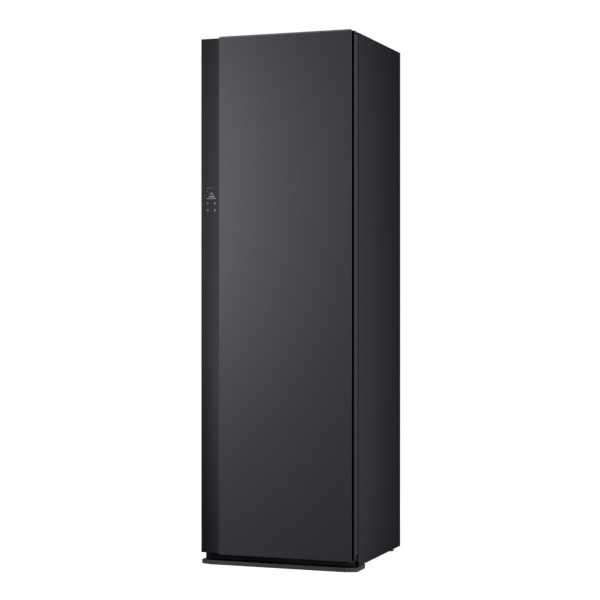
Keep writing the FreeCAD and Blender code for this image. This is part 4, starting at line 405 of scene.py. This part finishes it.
def ring(u, v, outer, inner, count=28, first=0.0, last=2 * pi):
    """Outlines of the small blocks that make a flat ring, or a part of one."""
    step = (last - first) / count
    blocks = []
    for index in range(count):
        a0 = first + step * index
        a1 = a0 + step
        blocks.append([
            (u + radius * cos(angle), v + radius * sin(angle))
            for radius, angle in ((outer, a0), (outer, a1), (inner, a1), (inner, a0))])
    return blocks


def moved(outlines, du, dv):
    """The outlines shifted by du and dv."""
    return [[(u + du, v + dv) for u, v in outline] for outline in outlines]


def between(first, last, count):
    """Evenly spaced numbers from first to last."""
    return [first + (last - first) * index / (count - 1) for index in range(count)]


# ---------------------------------------------------------------- CAD nodes
def dress_nodes():
    """Gives every CAD node the finish of its material slot."""
    for entry in frame["record"]["subparts"]:
        for holder in nodes[entry["node"]].material_slots:
            holder.material = FINISHES[entry["material_slot"]]


def soften(name, width):
    """Rounds a CAD node's sharp edges with modifiers; its own mesh stays as it is."""
    node = nodes[name]
    weld = node.modifiers.new("weld", "WELD")
    weld.merge_threshold = 0.00001
    flat = node.modifiers.new("flat", "DECIMATE")
    flat.decimate_type = "DISSOLVE"
    flat.angle_limit = radians(0.5)
    bevel = node.modifiers.new("bevel", "BEVEL")
    bevel.width = width
    bevel.segments = 2
    bevel.limit_method = "ANGLE"
    bevel.angle_limit = radians(30)
    bevel.use_clamp_overlap = True
    bevel.harden_normals = True


SOFT_EDGES = {
    "door_glass": 0.0003, "door_frame": 0.0008, "kick_plinth": 0.0008,
    "base_ledge": 0.0026, "glass_carrier": 0.0006, "front_frame": 0.0010, "tank_bay": 0.0008,
    "supply_tank_lid": 0.0012, "drain_tank_lid": 0.0012, "lint_filter": 0.0005, "aroma_cartridge": 0.0005,
    "press_base": 0.0012, "press_plate": 0.0012, "press_latch": 0.0006, "drive_bracket": 0.0004,
    "hanger_shuttle": 0.0008, "upper_hinge_bracket": 0.0005, "lower_hinge_bracket": 0.0005,
    "main_board_case": 0.0008, "shelf": 0.0006, "hanger_left": 0.0022, "hanger_right": 0.0022}


# ---------------------------------------------------------------- display on the control strip
SEGMENTS = {"4": "fgbc", "5": "afgcd"}


def digit_bars(digit, x, z, width, height, line):
    """Outlines of one seven-segment digit with its lower left corner at x, z."""
    half = height / 2
    bars = {
        "a": (x, x + width, z + height - line, z + height), "d": (x, x + width, z, z + line),
        "g": (x, x + width, z + half - line / 2, z + half + line / 2),
        "f": (x, x + line, z + half, z + height),
        "b": (x + width - line, x + width, z + half, z + height),
        "c": (x + width - line, x + width, z, z + half)}
    return [rectangle(*bars[letter]) for letter in SEGMENTS[digit]]


def display_marks():
    """Generic marks on the strip: a lit number, short bars in place of words, and four touch marks.

    Places are measured from the lower left corner of the display block behind the strip.
    """
    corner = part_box("display_module")[0]
    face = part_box("control_strip")[0].y
    front, back = face - 0.00012, face + 0.0002
    left, right, lower, upper = 0.0123, 0.0416, 0.0210, 0.0470
    line_z, word_z, number_z, dot_z = 0.0640, 0.0700, 0.0785, 0.1040
    line_h, dash_h = 0.0013, 0.0012

    lit = []
    for digit, x in (("4", 0.0221), ("5", 0.0285)):
        lit += digit_bars(digit, x, number_z, width=0.0044, height=0.0080, line=0.0009)
    for x0, x1, tall in (
            (0.0161, 0.0187, 0.0020), (0.0201, 0.0219, 0.0044), (0.0231, 0.0271, 0.0024),
            (0.0283, 0.0305, 0.0044), (0.0319, 0.0341, 0.0030), (0.0355, 0.0391, 0.0044)):
        lit.append(rectangle(x0, x1, word_z, word_z + tall))
    for x0, x1 in (
            (0.0081, 0.0141), (0.0153, 0.0231), (0.0243, 0.0311), (0.0323, 0.0371), (0.0383, 0.0451)):
        lit.append(rectangle(x0, x1, line_z, line_z + line_h))
    for z in (upper, lower):
        lit += ring(right, z, outer=0.0031, inner=0.0022)
        lit.append(circle(right, z, radius=0.0010, count=16))
    lit = moved(lit, corner.x, corner.z)
    plates("display_lit_marks", lit, "Y", front, back, LIT, "door")

    dim = []
    for x0, x1, z in ((0.0081, 0.0141, 0.1035), (0.0081, 0.0141, 0.0915), (0.0021, 0.0061, 0.0730)):
        dim.append(rectangle(x0, x1, z, z + dash_h))
    for x in (0.0181, 0.0266):
        dim.append(circle(x, dot_z, radius=0.0015, count=16))
    # an open ring with a bar, and below it a square frame on its corner
    dim += ring(left, upper, outer=0.0038, inner=0.0029, count=22, first=radians(125), last=radians(415))
    dim.append(rectangle(left - 0.0005, left + 0.0005, upper + 0.0005, upper + 0.0048))
    dim += ring(left, lower, outer=0.0049, inner=0.0038, count=4)
    dim = moved(dim, corner.x, corner.z)
    plates("display_dim_marks", dim, "Y", front, back, DIM, "door")


# ---------------------------------------------------------------- door seal
def gasket_bellows():
    """Magnetic door seal: foot, two bellows folds and a magnet chamber, mitred at the corners."""
    low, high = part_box("door_gasket")
    half_width = 0.007
    side = [
        (0.0060, 0.0), (0.0068, 0.0010), (0.0062, 0.0019), (0.0044, 0.0024), (0.0044, 0.0029),
        (0.0064, 0.0034), (0.0068, 0.0042), (0.0062, 0.0050), (0.0052, 0.0054), (0.0056, 0.0060),
        (0.0060, 0.0068), (0.0060, 0.0080), (0.0053, 0.0087), (0.0026, 0.0087), (0.0020, 0.0083)]
    outline = side + [(-across, depth) for across, depth in reversed(side)]
    bm = bmesh.new()
    loops = []
    for to_right, to_top in ((False, False), (True, False), (True, True), (False, True)):
        loop = []
        for across, depth in outline:
            inset = half_width + across
            x = high.x - inset if to_right else low.x + inset
            z = high.z - inset if to_top else low.z + inset
            loop.append(bm.verts.new((x, low.y + depth, z)))
        loops.append(loop)
    for near, far in zip(loops, loops[1:] + loops[:1]):
        bridge(bm, near, far)
    seal = finish_mesh("gasket_bellows", bm, FINISHES["gasket"], "door", smooth=True)
    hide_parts("door_gasket")


# ---------------------------------------------------------------- fasteners
def add_screw(bm, centre, radius):
    """Adds a low domed screw head that faces the front, with a cross recess, as a disc of rings."""
    turn = Vector((0, 0, 1)).rotation_difference(Vector((0, -1, 0))).to_matrix().to_4x4()
    place = Matrix.Translation(Vector(centre)) @ turn
    rings, spokes = 9, 32
    height = radius * 0.38
    arm, half_arm, recess = radius * 0.58, radius * 0.14, height * 0.75
    rows = []
    for row_number in range(1, rings + 1):
        share = row_number / rings
        row = []
        for spoke in range(spokes):
            angle = 2 * pi * spoke / spokes
            x, y = radius * share * cos(angle), radius * share * sin(angle)
            z = height * (1 - share ** 3)
            if min(abs(x), abs(y)) < half_arm and max(abs(x), abs(y)) < arm:
                z -= recess
            row.append(bm.verts.new(place @ Vector((x, y, z))))
        rows.append(row)
    middle = bm.verts.new(place @ Vector((0, 0, height - recess)))
    for spoke in range(spokes):
        after = (spoke + 1) % spokes
        bm.faces.new((middle, rows[0][spoke], rows[0][after]))
        for inner, outer in zip(rows, rows[1:]):
            bm.faces.new((inner[spoke], outer[spoke], outer[after], inner[after]))


def hinge_screws():
    """Four screws through the leg of each hinge bracket."""
    leg_t, screw_r, columns = 0.003, 0.0038, (0.010, 0.040)
    for name, heights in (("upper_hinge", (0.008, 0.027)), ("lower_hinge", (0.022, 0.044))):
        low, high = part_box(name + "_bracket")
        bm = bmesh.new()
        for across in columns:
            for up in heights:
                add_screw(bm, (low.x + across, high.y - leg_t, low.z + up), screw_r)
        finish_mesh(name + "_screws", bm, SCREW, "cabinet", smooth=True)


def back_screws():
    """Countersunk screws round the edge of the back panel, level with the sheet, with dark crosses painted
    as the shade in their recesses.
    """
    low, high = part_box("back_panel")
    side_inset, end_inset, up_inset, across_inset = 0.0063, 0.008, 0.030, 0.150
    side_count, end_count, radius = 7, 3, 0.0038
    arm, half_arm = radius * 0.55, radius * 0.13
    sunk, head_t, slot_t = 0.001, 0.00002, 0.00004
    centres = [
        (x, z) for z in between(low.z + up_inset, high.z - up_inset, side_count)
        for x in (low.x + side_inset, high.x - side_inset)]
    centres += [
        (x, z) for x in between(low.x + across_inset, high.x - across_inset, end_count)
        for z in (low.z + end_inset, high.z - end_inset)]
    heads, slots = [], []
    for x, z in centres:
        heads.append(circle(x, z, radius, count=20))
        slots.append(rectangle(x - arm, x + arm, z - half_arm, z + half_arm))
        slots.append(rectangle(x - half_arm, x + half_arm, z - arm, z + arm))
    plates(
        "back_panel_screws", heads, "Y", high.y - sunk, high.y + head_t, SCREW, "cabinet")
    # dark crosses painted as the shade in the recesses
    plates(
        "back_panel_screw_recess_shade", slots, "Y", high.y, high.y + slot_t, SCREW_RECESS_SHADE, "cabinet")


# ---------------------------------------------------------------- small details of single pieces
def hinge_corner():
    """Painted shade and highlights at the lower hinge: black sheets for the shade in the door's notch and
    the plinth's end gap, a dark plug, highlights above.
    """
    frame_low, frame_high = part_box("door_frame")
    plinth_low, plinth_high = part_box("kick_plinth")
    arm_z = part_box("lower_hinge_bracket")[0].z
    black = FINISHES["carrier_black"]
    edge, proud, sunk = 0.0010, 0.0002, 0.0010
    gap_shade_side, gap_shade_w, gap_shade_foot = 0.0008, 0.0066, 0.0004

    def patch(nearest, farthest, bottom, top):
        """Rectangle on the door's side, measured from its eased rear edge and its underside."""
        rear = frame_high.y - edge
        return rectangle(rear - farthest, rear - nearest, frame_low.z + bottom, frame_low.z + top)

    # black sheet as painted shade in the hinge notch, and a dark patch for the plug
    dark = [patch(0.0, 0.0165, edge, 0.0175), patch(0.0040, 0.0180, 0.0455, 0.0487)]
    # painted highlights above the notch and the plug
    door_highlights = [patch(0.0040, 0.0165, 0.0220, 0.0265), patch(0.0080, 0.0195, 0.0491, 0.0530)]
    gap_shade_end = plinth_high.x - gap_shade_side
    # black sheet as painted shadow in the gap at the plinth's right end
    joint = rectangle(gap_shade_end - gap_shade_w, gap_shade_end, plinth_low.z + gap_shade_foot, arm_z - edge)
    side = frame_high.x
    plates("hinge_corner_notch_shade", dark, "X", side - sunk, side + proud, black, "door")
    plates("hinge_corner_highlights", door_highlights, "X", side - sunk, side + proud / 2, EDGE_HIGHLIGHT, "door")
    plates(
        "plinth_end_gap_shade", [joint], "Y", plinth_low.y - proud, plinth_low.y + sunk,
        black, "cabinet")


def ledge_seams():
    """Dark joints where the ledge's middle meets its two slanted ends, and painted highlights on the ends'
    edges.
    """
    low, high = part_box("base_ledge")
    corner_x, seam_w, edge_w, proud = 0.0412, 0.0030, 0.0046, 0.0002
    seam_foot, seam_drop, edge_foot, edge_drop = 0.0005, 0.0026, 0.0015, 0.0028
    seams, edges = [], []
    for joint, outward in ((low.x + corner_x, -1), (high.x - corner_x, 1)):
        first, last = joint - outward * seam_w / 2, joint + outward * seam_w / 2
        end = last + outward * edge_w
        seams.append(rectangle(min(first, last), max(first, last), low.z + seam_foot, high.z - seam_drop))
        edges.append(rectangle(min(last, end), max(last, end), low.z + edge_foot, high.z - edge_drop))
    plates(
        "ledge_seams", seams, "Y", low.y - proud, low.y + 0.001,
        FINISHES["carrier_black"], "cabinet")
    # painted highlights on the edges of the ledge's slanted ends
    plates(
        "ledge_end_highlights", edges, "Y", low.y - proud / 2, low.y + 0.004,
        EDGE_HIGHLIGHT, "cabinet")


def bar_rings():
    """Rubber rings that keep the hooks in their places on the hanging bar."""
    low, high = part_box("hanger_bar")
    y, z = (low.y + high.y) / 2, (low.z + high.z) / 2
    bar_r, ring_r, ring_half = 0.0088, 0.0106, 0.0018
    places = (-0.050, -0.034, 0.034, 0.050)
    spokes, rows = 32, 6
    bm = bmesh.new()
    for x in places:
        loops = []
        for row in range(rows + 1):
            along = -1 + 2 * row / rows
            radius = bar_r + (ring_r - bar_r) * (1 - along ** 4)
            loops.append([
                bm.verts.new((x + ring_half * along, v, w)) for v, w in circle(y, z, radius, spokes)])
        for near, far in zip(loops, loops[1:]):
            bridge(bm, near, far)
    finish_mesh("bar_rings", bm, FINISHES["gasket"], "hanger_carriage", smooth=True)


def tank_level_marks():
    """Raised filling marks on the front of each tank: a long one at the top and shorter ones below."""
    inset, top, bottom, half_h = 0.022, 0.170, 0.040, 0.0007
    count, long_mark, short_mark = 6, 0.026, 0.013
    proud, sunk = 0.0004, 0.001
    for tank in ("supply_tank", "drain_tank"):
        low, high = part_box(tank)
        right = high.x - inset
        marks = []
        for index, z in enumerate(between(low.z + top, low.z + bottom, count)):
            length = long_mark if index == 0 else short_mark
            marks.append(rectangle(right - length, right, z - half_h, z + half_h))
        plates(
            tank + "_level_marks", marks, "Y", low.y - proud, low.y + sunk,
            FINISHES["lid_grey"], tank)


def filter_weave():
    """Woven mesh on both faces of the lint filter's sheet."""
    low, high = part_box("lint_filter")
    middle, sheet_half = (low.y + high.y) / 2, 0.0008
    rim, sill, weave_h = 0.013, 0.007, 0.061
    left, right, bottom = low.x + rim, high.x - rim, low.z + sill
    top = bottom + weave_h
    wire, pitch = 0.0004, 0.0026
    half_wire = wire / 2
    bm = bmesh.new()
    for y in (middle - sheet_half, middle + sheet_half):
        for x in between(left, right, int((right - left) / pitch)):
            upright = rectangle(x - half_wire, x + half_wire, bottom, top)
            add_prism(bm, upright, "Y", y - half_wire, y + half_wire)
        for z in between(bottom, top, int((top - bottom) / pitch)):
            level = rectangle(left, right, z - half_wire, z + half_wire)
            add_prism(bm, level, "Y", y - wire, y + wire)
    finish_mesh("lint_filter_weave", bm, FINISHES["aroma_plastic"], "lint_filter")


# ---------------------------------------------------------------- studio
def photo_camera():
    """Camera of the photograph: level, 20 degrees round to the cabinet's right."""
    data = bpy.data.cameras.new("camera")
    data.sensor_width = 36.0
    data.lens = 98.95
    data.shift_y = -0.0018
    data.clip_end = 100.0
    camera = bpy.data.objects.new("camera", data)
    camera.location = (2.1506, -5.934, 0.991)
    camera.rotation_euler = (radians(90), 0, radians(19.99))
    bpy.context.collection.objects.link(camera)
    bpy.context.scene.camera = camera


def softbox(name, place, target, width, height, power):
    """Rectangular area light that faces a point."""
    data = bpy.data.lights.new(name, "AREA")
    data.shape = "RECTANGLE"
    data.size = width
    data.size_y = height
    data.energy = power
    light = bpy.data.objects.new(name, data)
    light.location = place
    aim = Vector(target) - Vector(place)
    light.rotation_euler = aim.to_track_quat("-Z", "Y").to_euler()
    light.visible_camera = False
    bpy.context.collection.objects.link(light)


def studio_world(level_of_light):
    """White where the camera and reflections look past the object, dim grey as light."""
    world = bpy.data.worlds.new("studio")
    bpy.context.scene.world = world
    world.use_nodes = True
    tree = world.node_tree
    background = tree.nodes["Background"]
    background.inputs["Color"].default_value = (1, 1, 1, 1)
    path = tree.nodes.new("ShaderNodeLightPath")
    seen = path.outputs["Is Camera Ray"]
    for kind in ("Is Glossy Ray", "Is Transmission Ray"):
        either = tree.nodes.new("ShaderNodeMath")
        either.operation = "MAXIMUM"
        tree.links.new(seen, either.inputs[0])
        tree.links.new(path.outputs[kind], either.inputs[1])
        seen = either.outputs[0]
    level = tree.nodes.new("ShaderNodeMapRange")
    level.inputs["To Min"].default_value = level_of_light
    level.inputs["To Max"].default_value = 1.0
    tree.links.new(seen, level.inputs["Value"])
    tree.links.new(level.outputs["Result"], background.inputs["Strength"])


def floor():
    """Pale floor that reads white to the camera and keeps a faint shadow."""
    reach, thickness, lift_to_white = 15, 0.02, 0.86
    bm = bmesh.new()
    add_prism(bm, rectangle(-reach, reach, -reach, reach), "Z", -thickness, 0.0)
    mesh = bpy.data.meshes.new("floor")
    bm.to_mesh(mesh)
    bm.free()
    plane = bpy.data.objects.new("floor", mesh)
    bpy.context.collection.objects.link(plane)
    material = surface("floor", (225, 225, 225), 0.9, specular=0.0, bump=0.0, mottle=0.0)
    tree = material.node_tree
    path = tree.nodes.new("ShaderNodeLightPath")
    lift = tree.nodes.new("ShaderNodeMath")
    lift.operation = "MULTIPLY"
    lift.inputs[1].default_value = lift_to_white
    tree.links.new(path.outputs["Is Camera Ray"], lift.inputs[0])
    glow = tree.nodes.new("ShaderNodeEmission")
    tree.links.new(lift.outputs[0], glow.inputs["Strength"])
    both = tree.nodes.new("ShaderNodeAddShader")
    tree.links.new(shader_of(material).outputs[0], both.inputs[0])
    tree.links.new(glow.outputs[0], both.inputs[1])
    tree.links.new(both.outputs[0], tree.nodes["Material Output"].inputs["Surface"])
    mesh.materials.append(material)


dress_nodes()
for soft_name, soft_width in SOFT_EDGES.items():
    soften(soft_name, soft_width)
display_marks()
gasket_bellows()
hinge_screws()
hinge_corner()
back_screws()
ledge_seams()
bar_rings()
tank_level_marks()
filter_weave()

photo_camera()
studio_world(level_of_light=0.28)
softbox("key", place=(-2.2, -3.4, 1.6), target=(0, -0.3, 1.15), width=1.4, height=2.0, power=152)
softbox("fill", place=(0.80, -0.34, 1.0), target=(0.3, -0.15, 1.0), width=0.12, height=2.2, power=9)
floor()
bpy.context.scene.view_settings.view_transform = "Standard"
